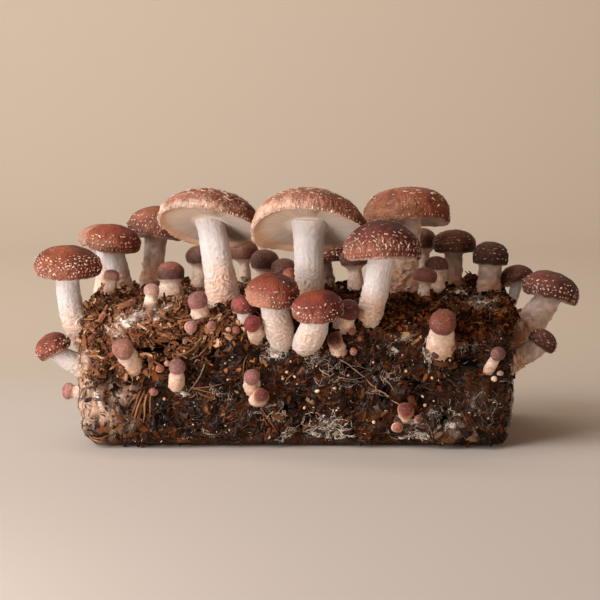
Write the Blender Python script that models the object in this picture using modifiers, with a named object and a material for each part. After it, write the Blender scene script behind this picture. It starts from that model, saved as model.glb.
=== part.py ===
# Shiitake grow block: a pressed block of sawdust and straw with mushrooms growing out of it.
# Lengths are metres, +Z is up. The origin is the centre of the flat underside, -Y is the front.
# Places and sizes in the tables are millimetres, turned to metres by MM.

import math

import bmesh
import bpy
import numpy as np
from mathutils import Vector

MM = 0.001

# Driving dimensions of the block
BLOCK_WIDTH = 262 * MM
BLOCK_DEPTH = 130 * MM
BLOCK_HEIGHT = 85 * MM
ROUND_TOP_FRONT = 13 * MM
ROUND_TOP_BACK = 7 * MM
ROUND_BOTTOM = 14 * MM
GRID_LINES = (21, 10, 7)
GRID_CROWDING = 1.25

# Neighbouring pieces keep this far apart
GAP = 0.4 * MM

# Shape shared by all caps, as shares of a cap's radius or height
DOME_FULLNESS = 2.25
RIM_DROP = 0.14
WIDEST_AT = 0.22
LIP_RADIUS = 0.955
GILL_ARCH = 0.6
CAP_WARP = 0.035
RIM_WAVE = 0.05
CAP_SHIFT = 2.4

# The two widest caps show their gills, so their undersides are pleated
GILL_PLEAT = 0.9 * MM
PLEAT_REACH = 0.93
PLEATED_RINGS = (0.15, 0.6)
PLAIN_RINGS = (0.25,)

# How many flat sides a cap or button has round its axis, and how many rings its dome has
SMALL, MEDIUM, LARGE, PLEATED = 12, 14, 18, 30
BUTTON_TURNS = 7
DOME_STEPS = {SMALL: 3, MEDIUM: 4, LARGE: 4, PLEATED: 4}
BUTTON_STEPS = 3

# A stem's crown is narrower than its seat under the cap, and its blank runs on past the cut
SEAT_MARGIN = 1.24
STEM_RINGS = 4
STEM_OVERRUN = 0.8

# A button's widest ring, the neck under its veil and its foot, as shares of cap or stem
BUTTON_WIDEST_AT = 0.38
NECK_DROP = 0.12
FOOT_SWELL = 1.05

# Waves that make the pressed block uneven: height, then wave numbers along X, Y and Z, then a shift
BLOCK_WAVES = [
    (2.6, 95, 60, 70, 0.4),
    (2.4, 150, -120, 130, 1.9),
    (2.6, -240, 190, 170, 4.1),
    (2.2, 290, 260, -230, 2.6),
]

WAVE_BEAT = 0.6

# Lumps, pits and hollows: centre, then half-widths along X, Y and Z, then height outwards
BLOCK_LUMPS = [
    ((-8, -65, 85), (64, 20, 18), -6.5),
    ((98, -62, 9), (15, 14, 6), 4.0),
    ((100, -64, 19), (20, 12, 3), -2.5),
    ((87, -64, 20), (6, 8, 6), -3.5),
    ((2, -63, 0), (12, 14, 9), -10.0),
    ((-116, -64, 46), (7, 8, 6), -5.0),
    ((-104, -64, 66), (18, 14, 12), 2.5),
    ((-60, -64, 54), (12, 12, 9), 3.0),
    ((-78, -64, 29), (17, 12, 10), -3.0),
    ((24, -64, 30), (14, 12, 9), 3.0),
    ((48, -64, 52), (15, 12, 9), -3.0),
    ((64, -64, 68), (13, 12, 8), 2.5),
    ((120, -60, 30), (10, 14, 10), 2.5),
    ((-32, -64, 18), (13, 12, 8), 2.5),
    ((105, -30, 85), (14, 14, 10), 2.5),
    ((30, -10, 85), (18, 14, 10), 2.0),
    ((-62, 10, 85), (18, 14, 10), -2.5),
    ((-85, 60, 84), (8, 10, 8), 4.0),
    ((40, 62, 84), (9, 9, 7), 3.0),
    ((103, 62, 84), (8, 8, 7), 4.0),
    ((30, 66, 40), (30, 12, 14), -3.5),
    ((-60, 66, 50), (25, 12, 18), 3.0),
    ((80, 66, 28), (20, 12, 12), 3.0),
    ((-112, 64, 24), (14, 12, 12), -3.0),
    ((131, 12, 30), (12, 24, 13), 3.0),
    ((131, 40, 58), (12, 15, 12), -3.0),
    ((-131, 18, 26), (12, 20, 12), 3.0),
    ((-131, 42, 56), (12, 14, 12), -2.5),
]

# The torn upper left of the front stands out by a ledge: its height, then where it rises
LEDGE_HEIGHT = 2.5
LEDGE_LEFT_OF = (84, 96)
LEDGE_IN_FRONT_OF = (45, 62)
LEDGE_ABOVE = (43, 49)

# The relief fades out where the surface turns down to the flat underside
FLAT_BELOW = (-0.92, -0.4)

# Open mushrooms. Each row is:
# name, foot inside the block, crown where stem meets cap, bend of the stem's middle,
# stem radii (foot, middle, crown), cap radius, cap height, lean to the back, lean to the right,
# flat sides round the cap, colour of the cap
OPEN_MUSHROOMS = [
    ("front_left", (-47, -30, 77), (-54.5, -14, 132.5), (1, -3, 0),
     (8.6, 9.6, 8.8), 31.8, 20.5, 28, 13, PLEATED, "A8694F"),
    ("front_middle", (7, -38, 75), (5, -50, 133.5), (-1, -1, 0),
     (8.6, 8.4, 9.6), 34.5, 23, 28, 3, PLEATED, "A56F57"),
    ("rear_right", (65, 6, 79), (68, 6, 133), (-1, 0, 0),
     (9.4, 9.2, 8.0), 28.2, 24.5, 10, 3, LARGE, "A46A58"),
    ("middle_right", (41, -56, 74), (49.5, -79, 120), (0, -5, -3),
     (6.8, 7.8, 7.6), 23.2, 24, 5, 0, LARGE, "8E4A3C"),
    ("side_left_high", (-126, -24, 57), (-142, -28, 103.5), (-6, -1, -6),
     (8.0, 7.6, 6.9), 20.2, 19, -2, 1, MEDIUM, "9A5A44"),
    ("side_left_low", (-125, -44, 45), (-148.5, -48, 57.5), (-1, 0, -3),
     (7.4, 6.6, 4.8), 10.8, 13, 0, -31, SMALL, "A5604C"),
    ("side_right_high", (127, -8, 58), (156, -10, 87), (4, 0, -6),
     (9.6, 9.2, 8.0), 18.2, 17, 5, 15, MEDIUM, "7E4A3C"),
    ("side_right_back", (127, 22, 62), (139, 26, 91), (2, 0, -2),
     (3.6, 3.4, 3.8), 10.8, 12.5, 14, -3, SMALL, "83503F"),
    ("side_right_low", (126, -34, 47), (148, -38, 60), (1, 0, -1),
     (7.0, 6.6, 6.0), 9.2, 11, 0, 35, SMALL, "5C3830"),
    ("back_left", (-112, 22, 79), (-118, 22, 113.5), (1, 0, 0),
     (9.6, 7.2, 7.0), 17.5, 17, 2, 6, MEDIUM, "9C5B47"),
    ("back_left_corner", (-127, 52, 76), (-127, 58, 114), (3, 0, 0),
     (7.0, 6.0, 5.6), 15.5, 13, 4, -4, SMALL, "A66A55"),
    ("back_left_inner", (-96, 46, 79), (-92, 50, 119), (0, 0, 0),
     (7.6, 6.6, 6.8), 18.2, 17, 9, 15, MEDIUM, "A2604B"),
    ("back_middle", (20, 42, 79), (15, 42, 104.5), (0, 0, 0),
     (5.4, 5.0, 5.0), 18.8, 13, 4, 0, MEDIUM, "6A3F34"),
    ("back_right", (97, 36, 79), (99, 36, 111), (0, 0, 0),
     (6.0, 5.4, 5.4), 13.8, 14.5, 2, 0, SMALL, "5D3A31"),
    ("back_right_corner", (120, 20, 79), (121, 20, 105), (0, 0, 0),
     (7.4, 7.2, 7.0), 11.8, 14.5, 2, 4, SMALL, "6A443A"),
    ("low_centre_left", (-10, -55, 62), (-16, -73, 92), (1, -3, -2),
     (7.0, 8.6, 7.2), 16.2, 18.5, -6, 1, MEDIUM, "98564C"),
    ("low_centre_right", (2, -56, 62), (11.5, -88, 85), (0, -8, -6),
     (6.6, 8.4, 7.0), 15.0, 17, -8, -6, MEDIUM, "8F4F47"),
    ("low_red", (-31, -50, 65), (-33.5, -58, 84), (0, -1, 0),
     (3.8, 4.4, 4.2), 7.6, 10, -6, -4, SMALL, "8C4038"),
]

# Buttons and young mushrooms. Each row is:
# foot inside the block, tip of the cap, stem radius, cap radius, cap height, colour of the cap
BUTTONS = [
    ((-80, -4, 80), (-80, -4, 107.5), 6.2, 8.6, 11.5, "7C4A3C"),
    ((-119.5, 3, 80), (-117, 4, 101.5), 3.6, 5.3, 7.0, "7D5350"),
    ((-90.5, -45, 79), (-89, -48, 98.5), 3.4, 4.7, 6.5, "B08C86"),
    ((-58, -51, 70), (-61.5, -64, 94.5), 4.8, 6.1, 8.2, "8C5F5C"),
    ((-25, -55, 66), (-28.5, -76, 80), 4.0, 5.1, 7.4, "7A2F2C"),
    ((25, -56, 67), (30.5, -76, 90), 4.8, 6.8, 9.0, "5E2A22"),
    ((24.5, -58, 58), (20.8, -74.5, 69), 4.2, 4.9, 5.6, "52281C"),
    ((85, -58, 59), (86, -82, 84.5), 6.8, 8.6, 10.5, "8F5A55"),
    ((114, -58, 46), (119.5, -80, 62), 2.6, 4.4, 6.0, "7E5A56"),
    ((-96, -58, 43), (-106, -83, 66), 5.2, 6.8, 9.2, "8A5A54"),
    ((-74, -58, 39), (-72.8, -80, 55), 3.5, 5.1, 6.6, "7C5856"),
    ((-28.4, -58, 35), (-28.2, -77, 47.5), 3.9, 4.9, 6.2, "9A6A68"),
    ((-25.5, -58, 28), (-22.5, -77, 35), 3.9, 4.9, 6.0, "6E3A33"),
    ((64.5, -58, 19), (64, -76, 26), 4.0, 5.0, 6.2, "7C4238"),
    ((-126, -40, 30), (-145, -42, 32), 3.6, 4.9, 5.6, "9E6A66"),
    ((79, 53, 79), (79, 56, 123), 4.8, 10.3, 14, "5A382C"),
    ((86.5, 12, 80), (86.5, 13, 109), 4.0, 7.2, 9.0, "4E2E26"),
    ((76, -20, 78), (78.5, -22, 105.5), 3.2, 7.2, 8.8, "54302A"),
    ((-64, 46, 79), (-63.5, 46, 112.5), 4.2, 9.2, 12, "6A463E"),
    ((-34, 45, 79), (-36, 45, 116.5), 3.2, 9.8, 13, "63423A"),
    ((-22, 26, 79), (-22, 26, 112), 4.3, 9.0, 12.5, "6B4A42"),
    ((-9, 1, 79), (-9.5, -1, 109), 4.2, 8.3, 9.5, "5A3A36"),
    ((37, 18, 79), (34, 18, 114), 4.0, 8.8, 11.5, "5B4038"),
]

SUBSTRATE_COLOUR = "5A3B26"
STEM_COLOUR = "E2CDB6"
SUBSTRATE_ROUGHNESS = 0.85
STEM_ROUGHNESS = 0.75
CAP_ROUGHNESS = 0.62
BUTTON_ROUGHNESS = 0.7


def linear(hex_colour):
    """One sRGB hex colour as linear red, green, blue and full alpha."""
    parts = [int(hex_colour[i:i + 2], 16) / 255 for i in (0, 2, 4)]
    return [c / 12.92 if c <= 0.04045 else ((c + 0.055) / 1.055) ** 2.4 for c in parts] + [1.0]


def finish(name, hex_colour, roughness):
    """A matte natural surface of one colour."""
    material = bpy.data.materials.new(name)
    material.use_nodes = True
    shader = material.node_tree.nodes["Principled BSDF"]
    shader.inputs["Base Color"].default_value = linear(hex_colour)
    shader.inputs["Roughness"].default_value = roughness
    shader.inputs["Metallic"].default_value = 0.0
    return material


def millimetres(point):
    """A place from the tables as a vector in metres."""
    return Vector(point) * MM


def add_piece(name, mesh, collection, material=None, location=(0, 0, 0)):
    """One named object in its collection, shaded smooth over its gentle edges."""
    piece = bpy.data.objects.new(name, mesh)
    piece.location = location
    collection.objects.link(piece)
    if material:
        mesh.materials.append(material)
    mesh.shade_smooth()
    mesh.set_sharp_from_angle(angle=math.radians(50))
    return piece


def smooth_step(value, low, high):
    """0 below low, 1 above high, with a soft rise between."""
    share = np.clip((value - low) / (high - low), 0, 1)
    return share * share * (3 - 2 * share)


def block_relief(points, outward):
    """How far the torn skin stands out: long waves, the named lumps, and a ledge at the left."""
    x, y, z = (points / MM).T
    relief = np.zeros(len(points))
    for height, along_x, along_y, along_z, shift in BLOCK_WAVES:
        phase = (along_x * x + along_y * y + along_z * z) * MM + shift
        relief += height * np.sin(phase) * np.cos(WAVE_BEAT * phase + shift)
    for centre, widths, height in BLOCK_LUMPS:
        reach = sum(((value - middle) / width) ** 2
                    for value, middle, width in zip((x, y, z), centre, widths))
        relief += height * np.exp(-reach)
    ledge = smooth_step(-x, *LEDGE_LEFT_OF) * smooth_step(-y, *LEDGE_IN_FRONT_OF)
    relief += LEDGE_HEIGHT * ledge * smooth_step(z, *LEDGE_ABOVE)
    above_ground = smooth_step(outward[:, 2], *FLAT_BELOW)
    return relief * above_ground * MM


def block_surface(box, clearance=0.0):
    """Points of a plain box moved onto the block: rounded edges first, then the relief."""
    front = 0.5 - box[:, 1] / BLOCK_DEPTH
    high = box[:, 2] / BLOCK_HEIGHT
    top = ROUND_TOP_BACK + (ROUND_TOP_FRONT - ROUND_TOP_BACK) * front
    rounding = (ROUND_BOTTOM + (top - ROUND_BOTTOM) * high)[:, None]
    centre = np.array([0, 0, BLOCK_HEIGHT / 2])
    half = np.array([BLOCK_WIDTH, BLOCK_DEPTH, BLOCK_HEIGHT]) / 2
    offset = box - centre
    inner = np.clip(offset, rounding - half, half - rounding)
    outward = offset - inner
    outward /= np.linalg.norm(outward, axis=1)[:, None]
    rounded = centre + inner + outward * rounding
    relief = block_relief(rounded, outward)
    return rounded + outward * (relief + clearance)[:, None]


def block_mesh(name, clearance=0.0):
    """A cube cut into a grid that is finer near its edges, moved onto the block's surface."""
    bm = bmesh.new()
    bmesh.ops.create_cube(bm, size=2)
    for axis, cuts in enumerate(GRID_LINES):
        along = [edge for edge in bm.edges
                 if abs((edge.verts[0].co - edge.verts[1].co).normalized()[axis]) > 0.99]
        bmesh.ops.subdivide_edges(bm, edges=along, cuts=cuts, use_grid_fill=True)
    mesh = bpy.data.meshes.new(name)
    bm.to_mesh(mesh)
    bm.free()
    cube = np.empty(len(mesh.vertices) * 3)
    mesh.vertices.foreach_get("co", cube)
    cube = cube.reshape(-1, 3)
    crowded = np.sin(GRID_CROWDING * cube) / math.sin(GRID_CROWDING)
    box = crowded * np.array([BLOCK_WIDTH, BLOCK_DEPTH, BLOCK_HEIGHT]) / 2
    box[:, 2] += BLOCK_HEIGHT / 2
    mesh.vertices.foreach_set("co", block_surface(box, clearance).ravel())
    mesh.update()
    split_quads(mesh)
    return mesh


def split_quads(mesh):
    """Every quad is split along the same diagonal, so that two offset copies stay parallel."""
    bm = bmesh.new()
    bm.from_mesh(mesh)
    bmesh.ops.triangulate(bm, faces=bm.faces, quad_method="FIXED")
    bm.to_mesh(mesh)
    bm.free()


def arc_angles(count):
    """Angles from the tip of a dome down to its widest ring."""
    return [math.radians(90) * step / count for step in range(count + 1)]


def dome_point(angle, radius, height):
    """A point of a full, flat-topped dome: a superellipse quarter."""
    power = 2 / DOME_FULLNESS
    return radius * math.sin(angle) ** power, height * max(math.cos(angle), 0.0) ** power


def cap_profile(radius, height, seat, dome_steps, inner_rings):
    """Outline of an open cap: down the dome, round the inrolled lip, and in over the gills."""
    lip = -RIM_DROP * height
    widest = lip + WIDEST_AT * height
    dome = [dome_point(angle, radius, height + lip - widest) for angle in arc_angles(dome_steps)]
    outline = [(r, z + widest) for r, z in dome]
    outline.append((LIP_RADIUS * radius, lip))
    for share in inner_rings:
        gills = (LIP_RADIUS * radius * (1 - share) + seat * share, lip * GILL_ARCH * (1 - share))
        outline.append(gills)
    return outline + [(seat, 0), (0, 0)]


def button_profile(length, stem_radius, cap_radius, cap_height):
    """Outline of a button: closed round cap, its veil drawn in to a plump stem, and its foot."""
    lip = length - cap_height
    widest = lip + BUTTON_WIDEST_AT * cap_height
    dome = [dome_point(angle, cap_radius, length - widest) for angle in arc_angles(BUTTON_STEPS)]
    outline = [(r, z + widest) for r, z in dome]
    outline.append((0.5 * (cap_radius + stem_radius), lip))
    outline.append((stem_radius, lip - NECK_DROP * cap_height))
    return outline + [(FOOT_SWELL * stem_radius, 0), (0, 0)]


def turned(name, outline, turns, workshop):
    """A closed solid turned from an outline that runs from its tip down its outer side."""
    mesh = bpy.data.meshes.new(name)
    points = [(r * MM, 0, z * MM) for r, z in outline]
    points[0] = (0, 0, points[0][2])
    mesh.from_pydata(points, [(i, i + 1) for i in range(len(points) - 1)], [])
    blank = bpy.data.objects.new(name, mesh)
    workshop.objects.link(blank)
    screw = blank.modifiers.new("Turn", "SCREW")
    screw.steps = screw.render_steps = turns
    screw.use_merge_vertices = True
    screw.merge_threshold = 0.00005
    return baked(blank)


def baked(blank):
    """The evaluated mesh of a blank, with its doubles merged. The blank is thrown away."""
    evaluated = blank.evaluated_get(bpy.context.evaluated_depsgraph_get())
    mesh = bpy.data.meshes.new_from_object(evaluated)
    source = blank.data
    bpy.data.objects.remove(blank)
    if isinstance(source, bpy.types.Mesh):
        bpy.data.meshes.remove(source)
    else:
        bpy.data.curves.remove(source)
    bm = bmesh.new()
    bm.from_mesh(mesh)
    bmesh.ops.remove_doubles(bm, verts=bm.verts, dist=0.00002)
    bm.to_mesh(mesh)
    bm.free()
    return mesh


def grow_uneven(mesh, radius, height, seat, shift):
    """Real caps are never true circles: swell the rim here and there and let it rise and fall."""
    places = np.empty(len(mesh.vertices) * 3)
    mesh.vertices.foreach_get("co", places)
    places = places.reshape(-1, 3)
    reach = np.hypot(places[:, 0], places[:, 1])
    turn = np.arctan2(places[:, 1], places[:, 0])
    outer = np.clip((reach - seat) / (radius - seat), 0, 1) ** 2
    swell = CAP_WARP * (np.sin(2 * turn + shift) + 0.6 * np.sin(3 * turn + 1.7 * shift))
    places[:, :2] *= (1 + outer * swell)[:, None]
    places[:, 2] += outer * RIM_WAVE * height * np.sin(2 * turn + 2.3 * shift)
    mesh.vertices.foreach_set("co", places.ravel())
    mesh.update()


def pleat_gills(mesh, radius, height, turns):
    """The deep gills of the two widest caps: every second meridian of the underside is raised."""
    for vertex in mesh.vertices:
        x, y, z = vertex.co
        reach = math.hypot(x, y)
        step = round(math.atan2(y, x) / math.tau * turns)
        under = -RIM_DROP * height < z < 0.0 and reach < PLEAT_REACH * radius
        if under and step % 2:
            vertex.co.z += GILL_PLEAT


def cap_axis(lean_back, lean_right):
    """Direction that a cap's tip points to, leaning towards +Y and +X."""
    back = math.tan(math.radians(lean_back))
    right = math.tan(math.radians(lean_right))
    return Vector((right, back, 1)).normalized()


def make_cap(row, shift, parts, workshop):
    """The cap of one open mushroom, seated on its crown point."""
    name, _, crown, _, stem_radii, radius, height, back, right, turns, colour = row
    seat = SEAT_MARGIN * stem_radii[2]
    pleated = turns == PLEATED
    inner_rings = PLEATED_RINGS if pleated else PLAIN_RINGS
    outline = cap_profile(radius, height, seat, DOME_STEPS[turns], inner_rings)
    mesh = turned("cap_" + name, outline, turns, workshop)
    if pleated:
        pleat_gills(mesh, radius * MM, height * MM, turns)
    grow_uneven(mesh, radius * MM, height * MM, seat * MM, shift)
    skin = finish("cap skin " + name.replace("_", " "), colour, CAP_ROUGHNESS)
    cap = add_piece("cap_" + name, mesh, parts, skin, millimetres(crown))
    cap.rotation_mode = "QUATERNION"
    cap.rotation_quaternion = cap_axis(back, right).to_track_quat("Z", "Y")
    return cap


def stem_course(foot, crown, bend, count):
    """Points along a stem: a quadratic curve pulled sideways at its middle."""
    middle = (foot + crown) / 2 + bend
    course = []
    for step in range(count + 1):
        t = step / count
        course.append(foot * (1 - t) ** 2 + middle * 2 * t * (1 - t) + crown * t ** 2)
    return course


def stem_radius(radii, t):
    """Radius at a share t of the length: a parabola through foot, middle and crown."""
    low, middle, high = radii
    return low * (1 - t) * (1 - 2 * t) + middle * 4 * t * (1 - t) + high * t * (2 * t - 1)


def make_stem(row, parts, workshop, clearance_block):
    """A stem swept along its curve, cut flat under its cap and shaped to the block at its foot."""
    name, foot, crown, bend, radii, _, _, back, right, turns, _ = row
    start, end = millimetres(foot), millimetres(crown)
    course = stem_course(Vector(), end - start, millimetres(bend), STEM_RINGS)
    tangent = (course[-1] - course[-2]).normalized()
    course.append(course[-1] + tangent * radii[2] * STEM_OVERRUN * MM)
    curve = bpy.data.curves.new(name, "CURVE")
    curve.dimensions = "3D"
    curve.bevel_depth = MM
    curve.bevel_resolution = 3 if turns == PLEATED else 2
    curve.use_fill_caps = True
    spline = curve.splines.new("POLY")
    spline.points.add(len(course) - 1)
    for step, (point, place) in enumerate(zip(spline.points, course)):
        point.co = (*place, 1)
        point.radius = stem_radius(radii, min(step / STEM_RINGS, 1))
    blank = bpy.data.objects.new(name, curve)
    workshop.objects.link(blank)
    mesh = baked(blank)
    axis = cap_axis(back, right)
    cut_flat(mesh, end - start - axis * GAP, axis)
    stem = add_piece("stem_" + name, mesh, parts, bpy.data.materials["stem flesh"], start)
    fit_to_block(stem, clearance_block)
    return stem


def cut_flat(mesh, place, direction):
    """Cut a solid across at a plane and close the cut."""
    bm = bmesh.new()
    bm.from_mesh(mesh)
    everything = bm.verts[:] + bm.edges[:] + bm.faces[:]
    bmesh.ops.bisect_plane(bm, geom=everything, dist=0.000001, plane_co=place,
                           plane_no=direction, clear_outer=True)
    open_edges = [edge for edge in bm.edges if edge.is_boundary]
    bmesh.ops.edgeloop_fill(bm, edges=open_edges)
    bmesh.ops.recalc_face_normals(bm, faces=bm.faces)
    bm.to_mesh(mesh)
    bm.free()


def fit_to_block(piece, clearance_block):
    """Take away what would reach into the block, leaving the small gap."""
    cut = piece.modifiers.new("Grown on the block", "BOOLEAN")
    cut.operation = "DIFFERENCE"
    cut.solver = "EXACT"
    cut.object = clearance_block


def make_button(number, row, parts, workshop, clearance_block):
    """One button, turned in one piece and stood along the line from its foot to its tip."""
    foot, tip, stem_radius_mm, cap_radius, cap_height, colour = row
    start, end = millimetres(foot), millimetres(tip)
    name = f"button_{number:02d}"
    length = (end - start).length / MM
    outline = button_profile(length, stem_radius_mm, cap_radius, cap_height)
    mesh = turned(name, outline, BUTTON_TURNS, workshop)
    skin = finish(f"button skin {number:02d}", colour, BUTTON_ROUGHNESS)
    button = add_piece(name, mesh, parts, skin, start)
    button.rotation_mode = "QUATERNION"
    button.rotation_quaternion = (end - start).to_track_quat("Z", "Y")
    fit_to_block(button, clearance_block)
    return button


def build():
    """The whole grow block, from an empty scene."""
    for old in list(bpy.data.objects):
        bpy.data.objects.remove(old)
    parts = bpy.data.collections.new("shiitake_grow_block")
    cutters = bpy.data.collections.new("cutters")
    for collection in (parts, cutters):
        bpy.context.scene.collection.children.link(collection)

    finish("stem flesh", STEM_COLOUR, STEM_ROUGHNESS)
    substrate = finish("mycelium bound sawdust", SUBSTRATE_COLOUR, SUBSTRATE_ROUGHNESS)
    add_piece("grow_block", block_mesh("grow_block"), parts, substrate)
    clearance_block = add_piece("block_clearance", block_mesh("block_clearance", GAP), cutters)
    clearance_block.hide_render = True
    clearance_block.display_type = "WIRE"

    for index, row in enumerate(OPEN_MUSHROOMS):
        make_cap(row, CAP_SHIFT * index, parts, cutters)
        make_stem(row, parts, cutters, clearance_block)
    for index, row in enumerate(BUTTONS):
        make_button(index + 1, row, parts, cutters, clearance_block)


build()
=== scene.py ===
# %% [markdown]
# # A shiitake grow block
# A grow block is a brick of damp sawdust and straw that a fungus has knitted together. When it fruits,
# pins swell into buttons, and buttons open into wide caps with gills. The solids of this block are
# already packed; this lesson dresses them. Everything is in metres, +Z is up, and the viewer stands at -Y.

# %% Load the solids
import math
from collections import namedtuple

import bpy
import numpy as np
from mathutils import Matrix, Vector


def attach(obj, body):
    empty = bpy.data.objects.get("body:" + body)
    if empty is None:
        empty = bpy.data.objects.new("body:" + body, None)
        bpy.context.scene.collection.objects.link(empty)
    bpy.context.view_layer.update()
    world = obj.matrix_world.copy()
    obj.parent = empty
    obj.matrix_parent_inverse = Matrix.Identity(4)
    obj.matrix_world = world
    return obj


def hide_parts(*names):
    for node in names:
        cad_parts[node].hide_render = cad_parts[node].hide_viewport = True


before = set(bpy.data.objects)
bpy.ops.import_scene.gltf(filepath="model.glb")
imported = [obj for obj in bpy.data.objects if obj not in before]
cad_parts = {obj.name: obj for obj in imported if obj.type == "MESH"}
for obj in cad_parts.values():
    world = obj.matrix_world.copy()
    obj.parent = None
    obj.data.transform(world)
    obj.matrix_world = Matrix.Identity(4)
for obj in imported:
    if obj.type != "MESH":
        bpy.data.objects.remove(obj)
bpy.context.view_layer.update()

# %% [markdown]
# ## Numbers that change smoothly
# Nothing grown has one height or one colour, so every surface below is bent by a random field. The
# field is value noise: random numbers on a cubic lattice, blended between the lattice points. It works on
# whole arrays of points at once, which keeps hundreds of thousands of points fast.

# %% Random fields
MM = 0.001
rng = np.random.default_rng(20331)
LATTICE_SIZE = 65536
LATTICE = rng.uniform(-1, 1, LATTICE_SIZE)
# Large odd factors, so that neighbouring lattice points read unlike numbers
LATTICE_FACTORS = (73856093, 19349663, 83492791)
# How far apart the fields of two seeds are read, in lumps
SEED_STEP = 7.31


def smooth_step(value, low, high):
    """0 below low, 1 above high, and t * t * (3 - 2 t) between."""
    t = np.clip((value - low) / (high - low), 0, 1)
    return t * t * (3 - 2 * t)


def unit(vectors):
    """The same directions, each of length 1."""
    return vectors / np.maximum(np.linalg.norm(vectors, axis=-1, keepdims=True), 1e-12)


def noise(points, size, seed=0):
    """A smooth random field from -1 to 1 whose lumps are about `size` millimetres across. At each point it is
    the sum over the eight lattice points around it of their random number times its share of the cell. The
    seed picks one of many such fields."""
    cell = points / (size * MM) + SEED_STEP * seed
    base = np.floor(cell).astype(np.int64)
    ease = cell - base
    ease = ease * ease * (3 - 2 * ease)
    total = 0
    for corner in np.ndindex(2, 2, 2):
        key = ((base + corner) * LATTICE_FACTORS).sum(-1) & (LATTICE_SIZE - 1)
        total = total + LATTICE[key] * np.where(corner, ease, 1 - ease).prod(-1)
    return total


def linear(hex_colour):
    """One sRGB hex colour as linear red, green and blue."""
    c = np.array([int(hex_colour[i:i + 2], 16) / 255 for i in (0, 2, 4)])
    return np.where(c <= 0.04045, c / 12.92, ((c + 0.055) / 1.055) ** 2.4)


def palette(*hex_colours):
    """Several hex colours as one array of linear colours."""
    return np.array([linear(hex_colour) for hex_colour in hex_colours])


def blend(colour, other, share):
    """A colour moved by a share of the way towards another: colour + (other - colour) * share."""
    return colour + (other - colour) * share


print("field at the origin:", round(float(noise(np.zeros(3), 5)), 3))

# %% [markdown]
# ## Closed shells
# A cap, a stem, a wood chip and a thread are all one kind of surface: rings of points from a tip down to a
# foot, closed by one point at each end. One function lists the faces of such a shell, and another puts
# any number of equal shells into one mesh. Rings run anticlockwise seen from the tip, so that their faces
# point outwards.

# %% Shells and meshes
def shell_faces(rows, columns):
    """Quads between the rings, and triangles from the first and the last ring to the two end points."""
    i, j = np.meshgrid(np.arange(rows - 1), np.arange(columns), indexing="ij")
    k = (j + 1) % columns
    quads = np.stack([i * columns + j, (i + 1) * columns + j, (i + 1) * columns + k, i * columns + k], -1)
    j = np.arange(columns)
    k = (j + 1) % columns
    tip = np.full(columns, rows * columns)
    last = (rows - 1) * columns
    triangles = np.vstack([np.stack([tip, j, k], 1), np.stack([tip + 1, last + k, last + j], 1)])
    return quads.reshape(-1, 4), triangles


def closed(grid, tips, feet):
    """Shells as one array: grid is (shells, rows, columns, 3), tips and feet are (shells, 3)."""
    count = len(grid)
    return np.concatenate([grid.reshape(count, -1, 3), tips[:, None], feet[:, None]], 1)


def add_shells(name, shells, rows, columns, materials, colours=None, fields=None, gill_row=None, slot=None,
               smooth=True):
    """A mesh of equal closed shells that rides on the block. colours is a linear RGB (or RGBA) for each
    point, fields are named values or vectors for each point, and faces below ring gill_row use the
    second material."""
    points = shells.reshape(-1, 3)
    quads, triangles = shell_faces(rows, columns)
    steps = (np.arange(len(shells)) * shells.shape[1])[:, None, None]
    quads = (quads[None] + steps).reshape(-1, 4)
    triangles = (triangles[None] + steps).reshape(-1, 3)
    mesh = bpy.data.meshes.new(name)
    mesh.vertices.add(len(points))
    mesh.vertices.foreach_set("co", np.ascontiguousarray(points, np.float32).ravel())
    corners = np.concatenate([quads.ravel(), triangles.ravel()])
    mesh.loops.add(len(corners))
    mesh.loops.foreach_set("vertex_index", corners.astype(np.int32))
    sizes = np.concatenate([np.full(len(quads), 4), np.full(len(triangles), 3)])
    mesh.polygons.add(len(sizes))
    mesh.polygons.foreach_set("loop_start", (np.cumsum(sizes) - sizes).astype(np.int32))
    second = np.zeros(len(sizes), np.int32)
    if gill_row is not None:
        second[gill_row * columns:len(quads)] = 1
        second[-columns:] = 1
    mesh.update(calc_edges=True)
    mesh.polygons.foreach_set("use_smooth", np.full(len(sizes), smooth))
    mesh.polygons.foreach_set("material_index", second)
    for material in materials:
        mesh.materials.append(material)
    if colours is not None:
        tones = np.ones((len(points), 4), np.float32)
        tones[:, :colours.shape[-1]] = colours.reshape(len(points), -1)
        mesh.attributes.new("tone", "FLOAT_COLOR", "POINT").data.foreach_set("color", tones.ravel())
    for key, values in (fields or {}).items():
        values = np.ascontiguousarray(values, np.float32)
        if values.size == len(points):
            mesh.attributes.new(key, "FLOAT", "POINT").data.foreach_set("value", values.ravel())
        else:
            mesh.attributes.new(key, "FLOAT_VECTOR", "POINT").data.foreach_set("vector", values.ravel())
    piece = bpy.data.objects.new(name, mesh)
    bpy.context.scene.collection.objects.link(piece)
    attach(piece, "root")
    made.append((name, len(quads) * 2 + len(triangles)))
    return piece


made = []
print("faces of a shell of 3 rings of 4:", [len(f) for f in shell_faces(3, 4)])

# %% [markdown]
# ## Tubes and flakes
# Two families of shells fill most of the block. A tube follows a path and is a stem, a straw or a
# mycelium thread, by its radius. A flake is a thin bent plate and is a wood chip or a scale of cap skin.
# A flake has only fourteen points, because thousands are strewn.

# %% Tubes and flakes
def tubes(paths, radii, columns, reference):
    """Rings round each path. paths is (shells, stations, 3), radii is (shells, stations). A ring's point is
    path + radius * (cos a * side + sin a * rise), with side = path direction x reference direction.
    Gives the ring points and their outward directions."""
    ahead = unit(np.gradient(paths, axis=1))
    side = unit(np.cross(ahead, reference))
    rise = np.cross(side, ahead)
    a = (np.arange(columns) * math.tau / columns)[:, None]
    outward = np.cos(a) * side[:, :, None] + np.sin(a) * rise[:, :, None]
    return paths[:, :, None] + outward * radii[:, :, None, None], outward


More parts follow.
